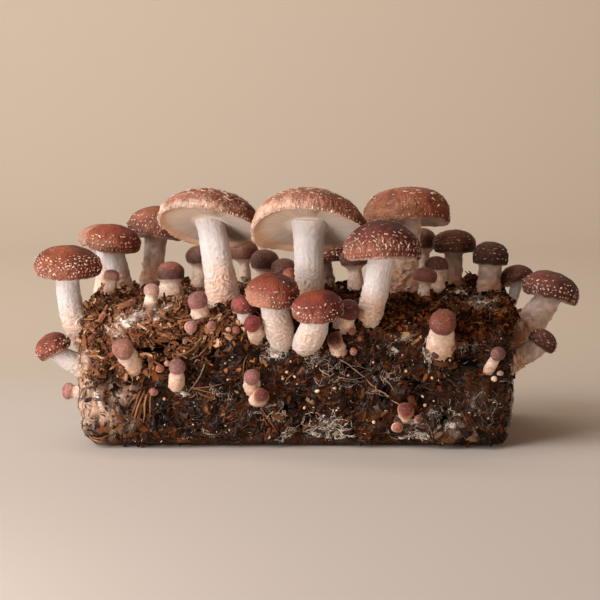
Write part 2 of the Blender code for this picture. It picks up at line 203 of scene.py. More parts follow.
FLAKE_RINGS = np.array([0.93, 0.5, 0.07])
FLAKE_SIDES = 4
FLAKE_BREADTH = (4 * FLAKE_RINGS * (1 - FLAKE_RINGS)) ** 0.3


def flakes(places, along, facing, lengths, widths, thick, curl, crumple=0.0):
    """Thin plates at `places`. At share s of its length a plate is width * (4 s (1 - s)) ** 0.3 wide, and it
    rises by curl * length * ((2 s - 1) ** 2 - 1/3) towards its facing side. Each point is then moved at
    random by crumple * width."""
    across = np.cross(facing, along)
    s = FLAKE_RINGS[None, :, None]
    lengths, widths, thick, curl = (np.asarray(v)[:, None, None] for v in (lengths, widths, thick, curl))
    bow = curl * lengths * ((2 * s - 1) ** 2 - 1 / 3)
    spine = places[:, None] + along[:, None] * lengths * (s - 0.5) + facing[:, None] * bow
    spine = spine + crumple * widths * rng.normal(0, 1, spine.shape)
    half = across[:, None] * widths * FLAKE_BREADTH[None, :, None] / 2
    half = half * (1 + crumple * rng.normal(0, 1, (*spine.shape[:2], 1)))
    rise = facing[:, None] * thick / 2
    grid = np.stack([spine + half, spine + rise, spine - half, spine - rise], 2)
    ends = places[:, None] + facing[:, None] * (curl * lengths * 2 / 3)
    reach = along[:, None] * lengths / 2
    return closed(grid, (ends + reach)[:, 0], (ends - reach)[:, 0])


def add_flakes(name, shells, colours, material, slot, smooth=True):
    """Flakes as one piece, with a colour for each flake."""
    tones = np.repeat(colours, shells.shape[1], 0)
    add_shells(name, shells, len(FLAKE_RINGS), FLAKE_SIDES, [material], tones, slot=slot, smooth=smooth)


print("points of a flake:", len(FLAKE_RINGS) * FLAKE_SIDES + 2)

# %% [markdown]
# ## The block's shape
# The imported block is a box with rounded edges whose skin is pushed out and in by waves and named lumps.
# The same formula is repeated here, so that chips and threads land on the skin wherever they are strewn.
# Its two shortest waves are weaker, because crumbs and pits take their place.

# %% Block formula
BLOCK_SIZE = np.array([262, 130, 85]) * MM
ROUND_TOP_FRONT = 13 * MM
ROUND_TOP_BACK = 7 * MM
ROUND_BOTTOM = 14 * MM
BLOCK_WAVES = [
    (2.6, 95, 60, 70, 0.4),
    (2.4, 150, -120, 130, 1.9),
    (1.0, -240, 190, 170, 4.1),
    (0.7, 290, 260, -230, 2.6),
]
WAVE_BEAT = 0.6
BLOCK_LUMPS = [
    ((-8, -65, 85), (64, 20, 18), -6.5), ((98, -62, 9), (15, 14, 6), 4.0),
    ((100, -64, 19), (20, 12, 3), -2.5), ((87, -64, 20), (6, 8, 6), -3.5),
    ((2, -63, 0), (12, 14, 9), -10.0), ((-116, -64, 46), (7, 8, 6), -5.0),
    ((-104, -64, 66), (18, 14, 12), 2.5), ((-60, -64, 54), (12, 12, 9), 3.0),
    ((-78, -64, 29), (17, 12, 10), -3.0), ((24, -64, 30), (14, 12, 9), 3.0),
    ((48, -64, 52), (15, 12, 9), -3.0), ((64, -64, 68), (13, 12, 8), 2.5),
    ((120, -60, 30), (10, 14, 10), 2.5), ((-32, -64, 18), (13, 12, 8), 2.5),
    ((105, -30, 85), (14, 14, 10), 2.5), ((30, -10, 85), (18, 14, 10), 2.0),
    ((-62, 10, 85), (18, 14, 10), -2.5), ((-85, 60, 84), (8, 10, 8), 4.0), ((40, 62, 84), (9, 9, 7), 3.0),
    ((103, 62, 84), (8, 8, 7), 4.0), ((30, 66, 40), (30, 12, 14), -3.5), ((-60, 66, 50), (25, 12, 18), 3.0),
    ((80, 66, 28), (20, 12, 12), 3.0), ((-112, 64, 24), (14, 12, 12), -3.0),
    ((131, 12, 30), (12, 24, 13), 3.0), ((131, 40, 58), (12, 15, 12), -3.0),
    ((-131, 18, 26), (12, 20, 12), 3.0), ((-131, 42, 56), (12, 14, 12), -2.5),
]
LEDGE_HEIGHT = 2.5


def gauss(x, y, z, centre, widths):
    """exp(-distance squared), with the distance counted in the widths along X, Y and Z."""
    return np.exp(-sum(((v - c) / w) ** 2 for v, c, w in zip((x, y, z), centre, widths)))


def block_skin(box):
    """Points of the plain box carried to the block's skin, and their outward directions."""
    front = 0.5 - box[:, 1] / BLOCK_SIZE[1]
    high = box[:, 2] / BLOCK_SIZE[2]
    top = ROUND_TOP_BACK + (ROUND_TOP_FRONT - ROUND_TOP_BACK) * front
    rounding = (ROUND_BOTTOM + (top - ROUND_BOTTOM) * high)[:, None]
    centre = np.array([0, 0, BLOCK_SIZE[2] / 2])
    offset = box - centre
    inner = np.clip(offset, rounding - BLOCK_SIZE / 2, BLOCK_SIZE / 2 - rounding)
    outward = unit(offset - inner)
    rounded = centre + inner + outward * rounding
    x, y, z = (rounded / MM).T
    relief = np.zeros(len(box))
    for height, along_x, along_y, along_z, shift in BLOCK_WAVES:
        phase = (along_x * x + along_y * y + along_z * z) * MM + shift
        relief += height * np.sin(phase) * np.cos(WAVE_BEAT * phase + shift)
    for middle, widths, height in BLOCK_LUMPS:
        relief += height * gauss(x, y, z, middle, widths)
    relief += LEDGE_HEIGHT * smooth_step(-x, 84, 96) * smooth_step(-y, 45, 62) * smooth_step(z, 43, 49)
    relief *= smooth_step(outward[:, 2], -0.92, -0.4)
    return rounded + outward * relief[:, None] * MM, outward


print("plain block in mm:", np.round(BLOCK_SIZE / MM), "named lumps:", len(BLOCK_LUMPS))

# %% [markdown]
# ## Where the block is dry, wet or white
# The upper left is torn open and dries to orange-brown shreds. Below, the skin is wet, nearly black and
# glossy. White mycelium lies in mats and films. Each is a smooth function of the place, used for the
# skin's relief and colour and for what is strewn there.

# %% Zones of the block
# White mats: centre and reach in millimetres, and how white
MATS = [
    ((-110, -64, 73), (8, 12, 5), 0.85), ((-101, -62, 78), (10, 14, 5), 0.95),
    ((-92, -60, 81), (9, 14, 4), 1.0), ((-84, -56, 85), (8, 12, 4), 1.0),
    ((-122, -64, 33), (2.4, 10, 4), 0.6), ((-120, -64, 27), (2, 10, 5), 0.6),
    ((-129, -58, 55), (3, 10, 5), 0.5), ((-126, -62, 42), (5, 10, 4), 0.4),
    ((-128, -60, 15), (5, 12, 9), 0.3), ((-16, -66, 58), (7, 12, 6), 0.75), ((8, -66, 57), (8, 12, 4), 0.4),
    ((15, -66, 11), (14, 12, 8), 0.6), ((-9, -64, 5), (4, 10, 3), 0.7), ((80, -66, 22), (4, 10, 6), 0.5),
    ((91, -66, 14), (6, 10, 3), 0.6), ((64, -66, 68), (6, 10, 3), 0.7), ((56, -66, 60), (4, 10, 3), 0.7),
    ((101, -64, 62), (8, 10, 3), 0.5), ((106, -52, 85), (5, 8, 4), 0.8), ((117, -50, 85), (4, 8, 4), 0.8),
    ((111, -20, 87), (7, 9, 4), 0.8), ((47, -66, 24), (6, 10, 4), 0.4), ((111, -64, 28), (11, 10, 9), 0.18),
    ((127, -60, 34), (3, 12, 20), 0.3), ((66, -66, 15), (10, 10, 8), 0.4), ((73, -66, 8), (6, 10, 3), 0.9),
    ((-70, -66, 34), (5, 10, 3), 0.5), ((-110, -66, 32), (6, 10, 3), 0.42),
    ((22, -66, 4), (12, 10, 3), 0.6), ((78, -66, 57), (3, 10, 7), 0.6), ((-112, -30, 86), (14, 10, 4), 0.5),
]
# Crevices and holes, and one ridge: centre x, y and z, reach across and up, and depth in millimetres
HOLES = [
    (-113, -64, 49, 3.2, 4.5, 6.0), (-117, -64, 42, 3, 2.5, 4.0), (-90, -64, 61, 12, 2.2, 5.0),
    (-72, -64, 65, 10, 2.2, 5.0), (-82, -64, 55, 5, 3, 4.0), (-116, -64, 66, 1.8, 1.8, 4.0),
    (-121, -64, 63, 1.6, 1.4, 3.5), (-105, -64, 68, 2, 1.5, 3.5), (-101, -64, 62, 2.2, 1.6, 3.5),
    (-108, -64, 58, 1.6, 1.4, 3.5), (-52, -64, 62, 6, 2, 4.0), (-64, -64, 46, 3, 4, 3.5),
    (88, -64, 18, 3, 3, 5.0), (94, -62, 12.5, 14, 1.4, 2.5), (-6, -64, 25, 5, 3, 3.0),
    (40, -64, 45, 8, 2.5, 3.0), (26, -64, 50, 6, 3, 3.0), (52, -64, 33, 3, 5, 3.0),
    (-80, -64, 57, 24, 2.2, -2.4), (4, -64, 14, 3, 3, 3.5), (16, -64, 9, 4, 2.4, 3.5),
    (10, -64, 19, 4, 2, 3.0), (24, -64, 12, 3, 2.4, 3.0), (-20, -64, 12, 4, 3, 3.0),
    (-60, -64, 20, 3, 6, 3.0), (-84, -64, 16, 3, 5, 2.5), (70, -64, 40, 4, 5, 3.0),
    (104, -64, 52, 7, 2, 3.5), (90, -64, 66, 6, 2, 3.5), (114, -64, 16, 8, 2, 2.5),
]


def zones(points):
    """Shares from 0 to 1 at each point: dry and torn, and white with mycelium."""
    x, y, z = (points / MM).T
    wander = 7 * noise(points, 16, 1)
    line = np.interp(x, [-131, -118, -60, -36, 20, 131], [40, 42, 56, 66, 76, 70])
    dry = smooth_step(z + wander, line - 5, line + 5) * np.where(y < 60, 1, 0.6)
    white = np.zeros(len(points))
    for centre, widths, strength in MATS:
        white = np.maximum(white, strength * gauss(x, y, z, centre, widths))
    white = white * (1 + 0.6 * noise(points, 4, 12) + 0.4 * noise(points, 1.8, 13))
    hidden = smooth_step(y, -52, -30)
    mats = noise(points, 24, 2) + 0.5 * noise(points, 7, 3) + 0.3 * noise(points, 2.5, 14)
    return dry, np.clip(np.maximum(white, 0.7 * hidden * smooth_step(mats, 0.45, 0.85)), 0, 1)


# Smooth wet films: centre and reach in millimetres, how smooth and how pale
FILMS = [
    ((-120, -62, 20), (17, 14, 19), 1.0, 0.85), ((-104, -66, 30), (15, 12, 11), 0.8, 0.6),
    ((-131, -50, 34), (11, 32, 27), 0.85, 1.2), ((112, -62, 30), (20, 14, 18), 0.9, 0.04),
    ((-20, -66, 3), (70, 12, 6), 0.7, 0.12), ((98, -62, 10), (14, 12, 6), 0.9, 0.35),
]


def films(points):
    """Two shares from 0 to 1 at each point: how smooth a film makes the skin, and how pale it is."""
    x, y, z = (points / MM).T
    even, pale = np.zeros((2, len(points)))
    for centre, widths, strength, paleness in FILMS:
        here = strength * gauss(x, y, z, centre, widths)
        even = np.maximum(even, here)
        pale = np.maximum(pale, here * paleness)
    streaks = noise(points * (1.4, 1.4, 0.4), 4, 15) + 0.5 * noise(points * (1, 1, 0.3), 1.8, 16)
    return even, np.clip(pale * (0.7 + streaks), 0, 1)


print("white mats:", len(MATS), "holes:", len(HOLES), "films:", len(FILMS))

# %% [markdown]
# ## A skin for the block
# The skin is one closed shell. Its ring is the block's outline seen from the end, and rings are carried
# along the length, then shrink to a point at each end. Crumbs, pits and creases a few millimetres wide
# are pushed into it, deeper where it is torn, and never below the flat underside.

# %% Block skin points
HALF = BLOCK_SIZE / 2
RING_POINTS = {"bottom": 16, "back": 34, "top": 62, "front": 108}
LENGTH_LINES = 350
END_LINES = 36
# Lines along the length follow a sine over this angle, so that they crowd a little towards the ends
END_CROWDING = 0.8
# How far into the block the named holes reach, in millimetres
HOLE_REACH = 9


def outline_ring():
    """The box's outline across its length, from the bottom front corner round by the back, as (y, z)."""
    sides = []
    for side, count in RING_POINTS.items():
        t = np.arange(count) / count
        sides.append({
            "bottom": (HALF[1] * (2 * t - 1), 0 * t), "back": (HALF[1] + 0 * t, BLOCK_SIZE[2] * t),
            "top": (HALF[1] * (1 - 2 * t), BLOCK_SIZE[2] + 0 * t),
            "front": (-HALF[1] + 0 * t, BLOCK_SIZE[2] * (1 - t)),
        }[side])
    return np.hstack(sides).T


def crumbs(points, outward):
    """Relief in millimetres that the torn and the wet skin have on top of the block's formula: ridged
    clumps and small holes where torn, upright runs where wet, and the named crevices in both."""
    dry, white = zones(points)
    x, y, z = (points / MM).T
    ridges = 1 - 2 * np.abs(noise(points, 9, 4))
    torn = 2.9 * ridges + 1.9 * noise(points, 4.5, 5) + 1.0 * noise(points, 2.2, 6)
    runs = points * (1, 1, 0.45)
    wet = 1.9 * noise(points, 12, 7) + 1.2 * (1 - 2 * np.abs(noise(runs, 5, 8))) + 0.7 * noise(runs, 1.9, 9)
    pits = smooth_step(noise(points, 5, 10) + 0.5 * noise(points, 2.4, 11), 0.5, 0.72)
    relief = torn * dry + wet * (1 - dry) - 4.2 * pits * (0.4 + 0.6 * dry)
    relief = relief * (1 - 0.6 * films(points)[0])
    for *centre, wide, tall, depth in HOLES:
        relief -= depth * smooth_step(gauss(x, y, z, centre, (wide, HOLE_REACH, tall)), 0.15, 0.6)
    relief = relief + (0.3 - relief) * np.clip(white, 0, 1) * 0.6
    relief = relief - 3.2 * smooth_step(-outward[:, 0], 0.4, 0.9) * smooth_step(z, 38, 50)
    relief = relief - smooth_step(outward[:, 0], 0.4, 0.9) * (1.8 + 2.5 * smooth_step(-z, -16, -4))
    return (relief - 0.8) * smooth_step(outward[:, 2], -0.92, -0.4)


ring = outline_ring()
shares = np.linspace(1 / END_LINES, 1, END_LINES)
across = np.sin(END_CROWDING * np.linspace(1, -1, LENGTH_LINES)) / math.sin(END_CROWDING)
lengthwise = np.concatenate([np.ones(END_LINES - 1), across, -np.ones(END_LINES - 1)])
spread = np.concatenate([shares[:-1], np.ones(LENGTH_LINES), shares[:-1][::-1]])
middle = np.array([0, HALF[2]])
box = np.empty((len(lengthwise), len(ring), 3))
box[..., 0] = (lengthwise * HALF[0])[:, None]
box[..., 1:] = middle + (ring - middle)[None] * spread[:, None, None]
ends = np.array([[HALF[0], 0, HALF[2]], [-HALF[0], 0, HALF[2]]])
plain_skin, outward = block_skin(np.vstack([box.reshape(-1, 3), ends]))
relief = crumbs(plain_skin, outward)
skin = plain_skin + outward * relief[:, None] * MM
skin[:, 2] = np.maximum(skin[:, 2], 0)
skin_rows, skin_columns = box.shape[:2]
print("block skin:", skin_rows, "rings of", skin_columns)

# %% [markdown]
# ## A small kit for materials
# Every finish below is built from nodes. One function adds a node with its settings and its links, so a
# finish reads as a short list. Each noise scale is worked out from the real grain: it is the number of lumps
# in a millimetre, divided by the millimetre, so 0.25 / MM is a lump every 4 mm.

# %% Material kit
# The sockets of a Mix node for colours go by number: share, first colour, second colour, and output 2
SHARE, FROM, TO = 0, 6, 7
COLOURS = {"data_type": "RGBA", "output": 2}
# A map from one range to another that starts and ends gently
SOFT = {"interpolation_type": "SMOOTHSTEP"}
# Light sinks deepest into fungus flesh where it is red, and least where it is blue
FLESH_DEPTHS = (1.0, 0.6, 0.4)


def set_inputs(tree, node, inputs):
    """Each input of a node linked, where it is given a socket, or set, where it is given a value."""
    for key, value in inputs.items():
        if isinstance(value, bpy.types.NodeSocket):
            tree.links.new(value, node.inputs[key])
        else:
            node.inputs[key].default_value = value


def add_node(tree, kind, inputs, output=0, **settings):
    """One shader node with its settings and its inputs. Gives the output that the finish uses."""
    node = tree.nodes.new("ShaderNode" + kind)
    for key, value in settings.items():
        setattr(node, key, value)
    set_inputs(tree, node, inputs)
    return node.outputs[output]


def new_material(name, **sockets):
    """A material with its node tree, and the uniform sockets of its shader set by name."""
    material = bpy.data.materials.new(name)
    material.use_nodes = True
    finish(material.node_tree, {key.replace("_", " "): value for key, value in sockets.items()})
    return material, material.node_tree


def finish(tree, inputs):
    """The shader's own sockets, set or linked."""
    set_inputs(tree, tree.nodes["Principled BSDF"], inputs)


def shaded(tree, tone, grain, low, high, dark, bright):
    """The tone times a brightness that goes from dark to bright as the grain goes from low to high."""
    brightness = add_node(tree, "MapRange", {"Value": grain, "From Min": low, "From Max": high,
                                             "To Min": dark, "To Max": bright})
    return add_node(tree, "VectorMath", {0: tone, "Scale": brightness}, operation="SCALE")


def rgba(hex_colour):
    """A linear colour with full alpha, as a colour socket takes it."""
    return (*linear(hex_colour), 1.0)


print("mid grey as linear light:", round(float(linear("808080")[0]), 3))

# %% [markdown]
# ## Pressed sawdust, damp
# Sterilised oak sawdust browns and darkens as the fungus feeds. The wet parts are nearly black with a
# film of water, so they are smooth and glint; the torn parts are matt, and gloss there would only veil the
# colour. Mycelium whitens both. Grain is drawn at 4 and at 1.3 mm, the size of coarse and fine sawdust.
# The four shares that the mesh carries say where the skin is dry, white, raised or under a pale film. The
# raised share also darkens the colour where the skin lies low: painted shade in its pits and crevices.

# %% Sawdust finish
sawdust, tree = new_material("oak sawdust pressed and damp")
place = add_node(tree, "TexCoord", {}, "Object")
dry_share, white_share, lift, pale_share = (add_node(tree, "Attribute", {}, "Fac", attribute_name=share)
                                            for share in ("dry", "white", "lift", "pale"))
coarse = add_node(tree, "TexNoise", {"Vector": place, "Scale": 0.25 / MM, "Detail": 4}, "Fac")
fine = add_node(tree, "TexNoise", {"Vector": place, "Scale": 0.76 / MM, "Detail": 3}, "Fac")
grain = add_node(tree, "Math", {0: coarse, 1: fine}, operation="MULTIPLY")
level = add_node(tree, "MapRange", {"Value": grain, "From Min": 0.18, "From Max": 0.4})
# Painted shade: the colour darkens where the skin lies low, in pits and crevices
level = add_node(tree, "Math", {0: level, 1: lift}, operation="MULTIPLY")
wet_tone, dry_tone = (
    add_node(tree, "Mix", {SHARE: level, FROM: rgba(dark), TO: rgba(light)}, **COLOURS)
    for dark, light in (("080301", "66320E"), ("140A05", "A26C44")))
brown = add_node(tree, "Mix", {SHARE: dry_share, FROM: wet_tone, TO: dry_tone}, **COLOURS)
brown = add_node(tree, "Mix", {SHARE: pale_share, FROM: brown, TO: rgba("C09C84")}, **COLOURS)
speckle = add_node(tree, "Math", {0: white_share, 1: fine}, operation="ADD")
whiteness = add_node(tree, "MapRange", {"Value": speckle, "From Min": 0.78, "From Max": 1.25}, **SOFT)
tone = add_node(tree, "Mix", {SHARE: whiteness, FROM: brown, TO: rgba("DED2C6")}, **COLOURS)
clots = add_node(tree, "MapRange", {"Value": coarse, "From Min": 0.44, "From Max": 0.56}, **SOFT)
matt = add_node(tree, "Math", {0: dry_share, 1: whiteness}, operation="MAXIMUM")
matt = add_node(tree, "Math", {0: matt, 1: clots}, operation="MAXIMUM")
finish(tree, {
    "Base Color": tone,
    "Roughness": add_node(tree, "MapRange", {"Value": matt, "To Min": 0.08, "To Max": 0.85}),
    "Specular IOR Level": add_node(tree, "MapRange", {"Value": matt, "To Min": 0.28, "To Max": 0.08}),
    "Normal": add_node(tree, "Bump", {"Height": grain, "Strength": 1.0, "Distance": 2 * MM}),
})

dry, white = zones(skin)
# lift is 0 deep in the crevices and 1 on the ridges, and it darkens the low skin: painted shade
shares = {"dry": dry, "white": white, "pale": films(skin)[1], "lift": smooth_step(relief, -3.4, 1.8)}
block = add_shells("block_skin", skin[None], skin_rows, skin_columns, [sawdust], fields=shares,
                   slot="sawdust_block")
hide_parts("grow_block")
print("dry share of the skin:", round(float(dry.mean()), 2), "white share:", round(float(white.mean()), 2))

# %% [markdown]
# ## Where each mushroom stands
# The rows follow the solids' own numbers to within a few millimetres: foot in the block, crown under the
# cap, bend of the stem, stem radii, cap radius and height, and how far the cap leans to the back and to the
# right. The colours are the cap's centre, middle and rim, and the last word is the kind of scales it has.

# %% Mushroom tables
Mushroom = namedtuple("Mushroom", "name foot crown bend stem_radii cap_radius cap_height "
                                  "lean_back lean_right centre_hex middle_hex rim_hex scales")
OPEN_MUSHROOMS = [Mushroom(*row) for row in (
    ("front_left", (-45.4, -30, 77), (-54.5, -14, 132), (1, -3, 0),
     (11.2, 9.4, 8.6), 31.8, 20.5, 28, 7.5, "7A3E28", "A05E42", "E2C6B2", "cracked"),
    ("front_middle", (7.5, -38, 75), (6, -50, 133.5), (-1, -1, 0),
     (8.6, 8.6, 10.2), 34.5, 23, 28, 3, "8E4E36", "A6684C", "E0B8A2", "cracked"),
    ("rear_right", (65, 6, 79), (68, 6, 133), (-1, 0, 0),
     (9.4, 9.2, 8.0), 28.2, 24.5, 10, -2, "B87050", "A25C3E", "B27654", "ringed"),
    ("middle_right", (41, -56, 74), (49.5, -79, 120), (0, -5, -3),
     (6.8, 7.8, 7.6), 22.2, 23.5, 5, 0, "52241A", "6C3024", "8E5440", "hooked"),
    ("side_left_high", (-126, -24, 57), (-142, -28, 103.5), (-9.5, -1, -9),
     (9.4, 8.0, 7.2), 20.1, 19, -2, 1, "9E5230", "8C452C", "905440", "dotted"),
    ("side_left_low", (-125, -44, 45), (-148.5, -48, 57.5), (-1, 0, -3),
     (7.4, 6.6, 4.8), 10.8, 13, 0, -31, "A5583A", "96503C", "86483A", "beaded"),
    ("side_right_high", (127, -8, 58), (156, -10, 87), (4, 0, -6),
     (9.6, 9.2, 8.0), 18.2, 17, 5, 15, "6A3826", "70382A", "5A2E20", "beaded"),
    ("side_right_back", (127, 22, 62), (139, 26, 91), (2, 0, -2),
     (3.6, 3.4, 3.8), 10.8, 12.5, 14, -3, "9A5A42", "744432", "4C2A1C", "plain"),
    ("side_right_low", (126, -34, 47), (148, -38, 60), (1, 0, -1),
     (7.0, 6.6, 6.0), 9.2, 11, 0, 35, "64382A", "66382A", "4E2A1E", "sparse"),
    ("back_left", (-112, 22, 79), (-118, 22, 113.5), (1, 0, 0),
     (9.6, 7.2, 7.0), 17.5, 17, 2, 6, "A8441E", "984A30", "A46850", "beaded"),
    ("back_left_corner", (-127, 52, 76), (-127, 58, 114), (3, 0, 0),
     (7.0, 6.0, 5.6), 15.5, 13, 4, -4, "B87C64", "B48068", "BC927E", "plain"),
    ("back_left_inner", (-96, 46, 79), (-92, 50, 119.5), (0, 0, 0),
     (9.4, 7.2, 7.2), 18.2, 21, 7, 6, "A45A3A", "9C5C44", "8A523E", "beaded"),
    ("back_middle", (20, 42, 79), (15, 42, 104.5), (0, 0, 0),
     (5.8, 5.2, 5.2), 18.8, 13, 4, 0, "9A5A46", "8E5444", "7E4A3A", "beaded"),
    ("back_right", (97, 36, 79), (99, 36, 111), (0, 0, 0),
     (7.0, 6.0, 5.8), 13.8, 14.5, 2, 0, "8A5238", "6E3E28", "523020", "sparse"),
    ("back_right_corner", (120, 20, 79), (121, 20, 105), (0, 0, 0),
     (7.6, 7.2, 7.0), 11.8, 14.5, 2, 4, "683A28", "4E2A1C", "3E2216", "sparse"),
    ("low_centre_left", (-10, -55, 62), (-16, -73, 92), (1, -3, -2),
     (7.0, 8.6, 7.2), 16.2, 18.5, -6, 1, "8E3A1E", "8E4834", "B87C64", "beaded"),
    ("low_centre_right", (2, -56, 62), (11.5, -88, 85), (0, -8, -6),
     (6.6, 8.4, 7.0), 15.0, 17, -8, -6, "9C4422", "7A3428", "925444", "beaded"),
    ("low_red", (-31, -50, 65), (-33.5, -58, 84), (0, -1, 0),
     (3.8, 4.4, 4.2), 7.6, 10, -6, -4, "9E4C42", "924840", "8A4A40", "plain"),
)]
# Foot, tip, stem radius, cap radius and height, colours of cap and margin
BUTTONS = [
    ((-80, -4, 80), (-80, -4, 107.5), 6.2, 8.6, 11.5, "84503F", "5C3834"),
    ((-119.5, 3, 80), (-117, 4, 101.5), 3.6, 5.3, 7.0, "845248", "B08476"),
    ((-90.5, -45, 79), (-89, -48, 98.5), 3.4, 4.7, 6.5, "AF8E88", "B99A90"),
    ((-58, -51, 70), (-61.5, -64, 94.5), 4.8, 6.1, 8.2, "7E5450", "8F6460"),
    ((-25, -55, 66), (-28.5, -76, 80), 4.0, 5.1, 7.4, "74292A", "8E3B36"),
    ((25, -56, 67), (30.5, -76, 90), 4.8, 6.8, 9.0, "54241C", "6E3628"),
    ((24.5, -58, 58), (20.8, -74.5, 69), 4.2, 4.9, 5.6, "4E2418", "B98A70"),
    ((85, -58, 59), (86, -81.5, 83.4), 6.6, 8.3, 9.4, "7E4838", "704038"),
    ((114, -58, 46), (119.5, -80, 62), 2.6, 4.4, 6.0, "6C4C48", "7E5A56"),
    ((-100, -58, 49), (-106, -83, 66), 5.4, 6.5, 8.2, "8E6256", "A2766A"),
    ((-74, -63, 38.5), (-72.6, -78.5, 54.6), 3.7, 5.2, 5.6, "7E5856", "906864"),
    ((-28.4, -58, 35), (-28.2, -77, 47.5), 3.9, 4.9, 6.2, "8E605E", "A27A72"),
    ((-25.5, -58, 28), (-22.5, -77, 35), 3.9, 4.9, 6.0, "6E3A33", "D9B08E"),
    ((64.5, -58, 19), (64, -76, 26), 4.0, 5.0, 6.2, "6C3024", "C08A6A"),
    ((-126, -40, 30), (-145, -42, 32), 3.6, 4.9, 5.6, "9A625E", "B98A82"),
    ((79, 53, 79), (79, 56, 123), 4.8, 10.3, 14, "74483A", "603C30"),
    ((86.5, 12, 80), (86.5, 13, 109), 4.0, 7.2, 9.0, "6A4234", "5A382E"),
    ((76, -20, 78), (78.5, -22, 105.5), 3.2, 7.2, 8.8, "66382E", "744438"),
    ((-64, 46, 79), (-63.5, 46, 112.5), 4.2, 9.2, 12, "84584A", "60403A"),
    ((-34, 45, 79), (-36, 45, 116.5), 3.2, 9.8, 13, "94604E", "70483A"),
    ((-22, 26, 79), (-22, 26, 112), 4.3, 9.0, 12.5, "7E544A", "6C4840"),
    ((-9, 1, 79), (-9.5, -1, 109), 4.2, 8.3, 9.5, "6E443A", "603C34"),
    ((37, 18, 79), (34, 18, 114), 4.0, 8.8, 11.5, "725044", "624638"),
]
# Caps wider than this radius get a finer mesh, and their stems too
LARGE_CAP = 20
# Each mushroom's swells and noise are read this much further along than the one before
CAP_SHIFT = 2.4
print("open mushrooms:", len(OPEN_MUSHROOMS), "buttons:", len(BUTTONS))

# %% [markdown]
# ## Cap shape
# A cap is turned from one outline: a flat-topped dome, a rolled margin, and an underside that arches up to
# the stem. Two swells round the rim keep it from being a true circle. The outline is a function of one
# number from 0 at the tip to 3 at the seat, so scales can be laid on it at any place.

# %% Cap surface
DOME_FULLNESS = 2.06
RIM_DROP = 0.14
CAP_WARP = 0.035
RIM_WAVE = 0.05
SEAT_MARGIN = 1.24
# How full the dome is, how far above the lip it is widest, and where the gills start, by kind: the fully
# open caps are widest at the lip, and the others still roll their margin in
OUTLINES = {"cracked": (1.95, 0.07, 0.955), "ringed": (2.35, 0.2, 0.9), "hooked": (1.85, 0.3, 0.85)}
ROLLED_IN = (2.05, 0.34, 0.78)
# A lobe of one cap's margin that hangs down: its direction, half width in radians and drop
LOBES = {"front_middle": (-0.42, 0.3, 3.0)}
# Caps that stand a little fuller than the kind: a factor on the height of the dome
FULLER = {"front_left": 1.1, "front_middle": 1.07, "rear_right": 0.95}


def turn_to(axis):
    """The matrix that turns +Z to an axis, the same way as the solids were turned."""
    return np.array(Vector(axis).to_track_quat("Z", "Y").to_matrix())


def cap_turn(row):
    """The matrix of one open mushroom's cap, leaning to the back and to the right by the tangents."""
    back, right = math.tan(math.radians(row.lean_back)), math.tan(math.radians(row.lean_right))
    return turn_to(Vector((right, back, 1)).normalized())


def cap_surface(row, shift, angle, way):
    """Points of a cap in its own frame, in millimetres, for an angle round it and a way down its outline. The
    dome is (sin b) ** (2 / fullness) wide and (cos b) ** (2 / fullness) high, the margin a quarter turn, and
    the underside rises from the lip as (1 - share) ** 1.3."""
    radius, height, seat = row.cap_radius, row.cap_height, SEAT_MARGIN * row.stem_radii[2]
    fullness, widest_at, gill_start = OUTLINES.get(row.scales, ROLLED_IN)
    lip = -RIM_DROP * height
    widest = lip + widest_at * height
    dome, roll, under = np.clip(way, 0, 1), np.clip(way - 1, 0, 1), np.clip(way - 2, 0, 1)
    bend = dome * math.pi / 2
    r = radius * np.sin(bend) ** (2 / fullness)
    rise = FULLER.get(row.name, 1) * height + lip - widest
    z = widest + rise * np.maximum(np.cos(bend), 0) ** (2 / fullness)
    edge = roll * math.pi / 2
    start = gill_start * radius
    r = np.where(way > 1, start + (radius - start) * np.maximum(np.cos(edge), 0) ** 0.8, r)
    z = np.where(way > 1, widest + (lip - widest) * np.sin(edge), z)
    r = np.where(way > 2, start + (seat - start) * under, r)
    z = np.where(way > 2, lip * (1 - 0.45 * smooth_step(under, 0, 0.12)) * (1 - under) ** 1.3, z)
    outer = np.clip((r - seat) / (radius - seat), 0, 1) ** 2
    swell = CAP_WARP * (np.sin(2 * angle + shift) + 0.6 * np.sin(3 * angle + 1.7 * shift))
    r = r * (1 + outer * swell)
    z = z + outer * RIM_WAVE * height * np.sin(2 * angle + 2.3 * shift)
    if row.name in LOBES:
        direction, half, drop = LOBES[row.name]
        away = (angle + math.pi - direction) % math.tau - math.pi
        z = z - outer * drop * np.exp(-away ** 2 / half ** 2)
    return np.stack([r * np.cos(angle), r * np.sin(angle), z], -1)


def cap_normals(row, shift, angle, way):
    """Outward directions of the cap surface, from the cross product of its two slopes."""
    step = 0.01
    down = cap_surface(row, shift, angle, way + step) - cap_surface(row, shift, angle, way - step)
    round_it = cap_surface(row, shift, angle + step, way) - cap_surface(row, shift, angle - step, way)
    return unit(np.cross(down, round_it))


def cap_relief(row, shift, angle, way, local):
    """Lumps, fibres and a wavy lip in millimetres on top of the outline, with the two vectors that noise is
    read from: one along the fibres and one of the place."""
    radius = row.cap_radius
    down = (15 if row.scales == "cracked" else 8) * np.minimum(way, 2) + shift
    rays = np.stack([radius * np.cos(angle), radius * np.sin(angle), down], -1) * MM
    own = (local + 100 * shift) * MM
    top = smooth_step(2 - way, 0, 0.3)
    flank = smooth_step(way, 0.55, 0.9) * top
    lumps = (0.5 * noise(own, 8, 20) + (0.2 + 0.4 * flank) * noise(own, 2.6, 21)
             + 0.3 * flank * noise(own, 1.4, 29))
    lip = np.exp(-((way - 1.7) / 0.35) ** 2) * noise(rays * (1, 1, 0), 2.4, 25) * 0.5
    return lumps * top + noise(rays, 1.6, 22) * flank * 0.3 + lip, rays, own


print("widest cap:", 2 * max(row.cap_radius for row in OPEN_MUSHROOMS), "mm across")

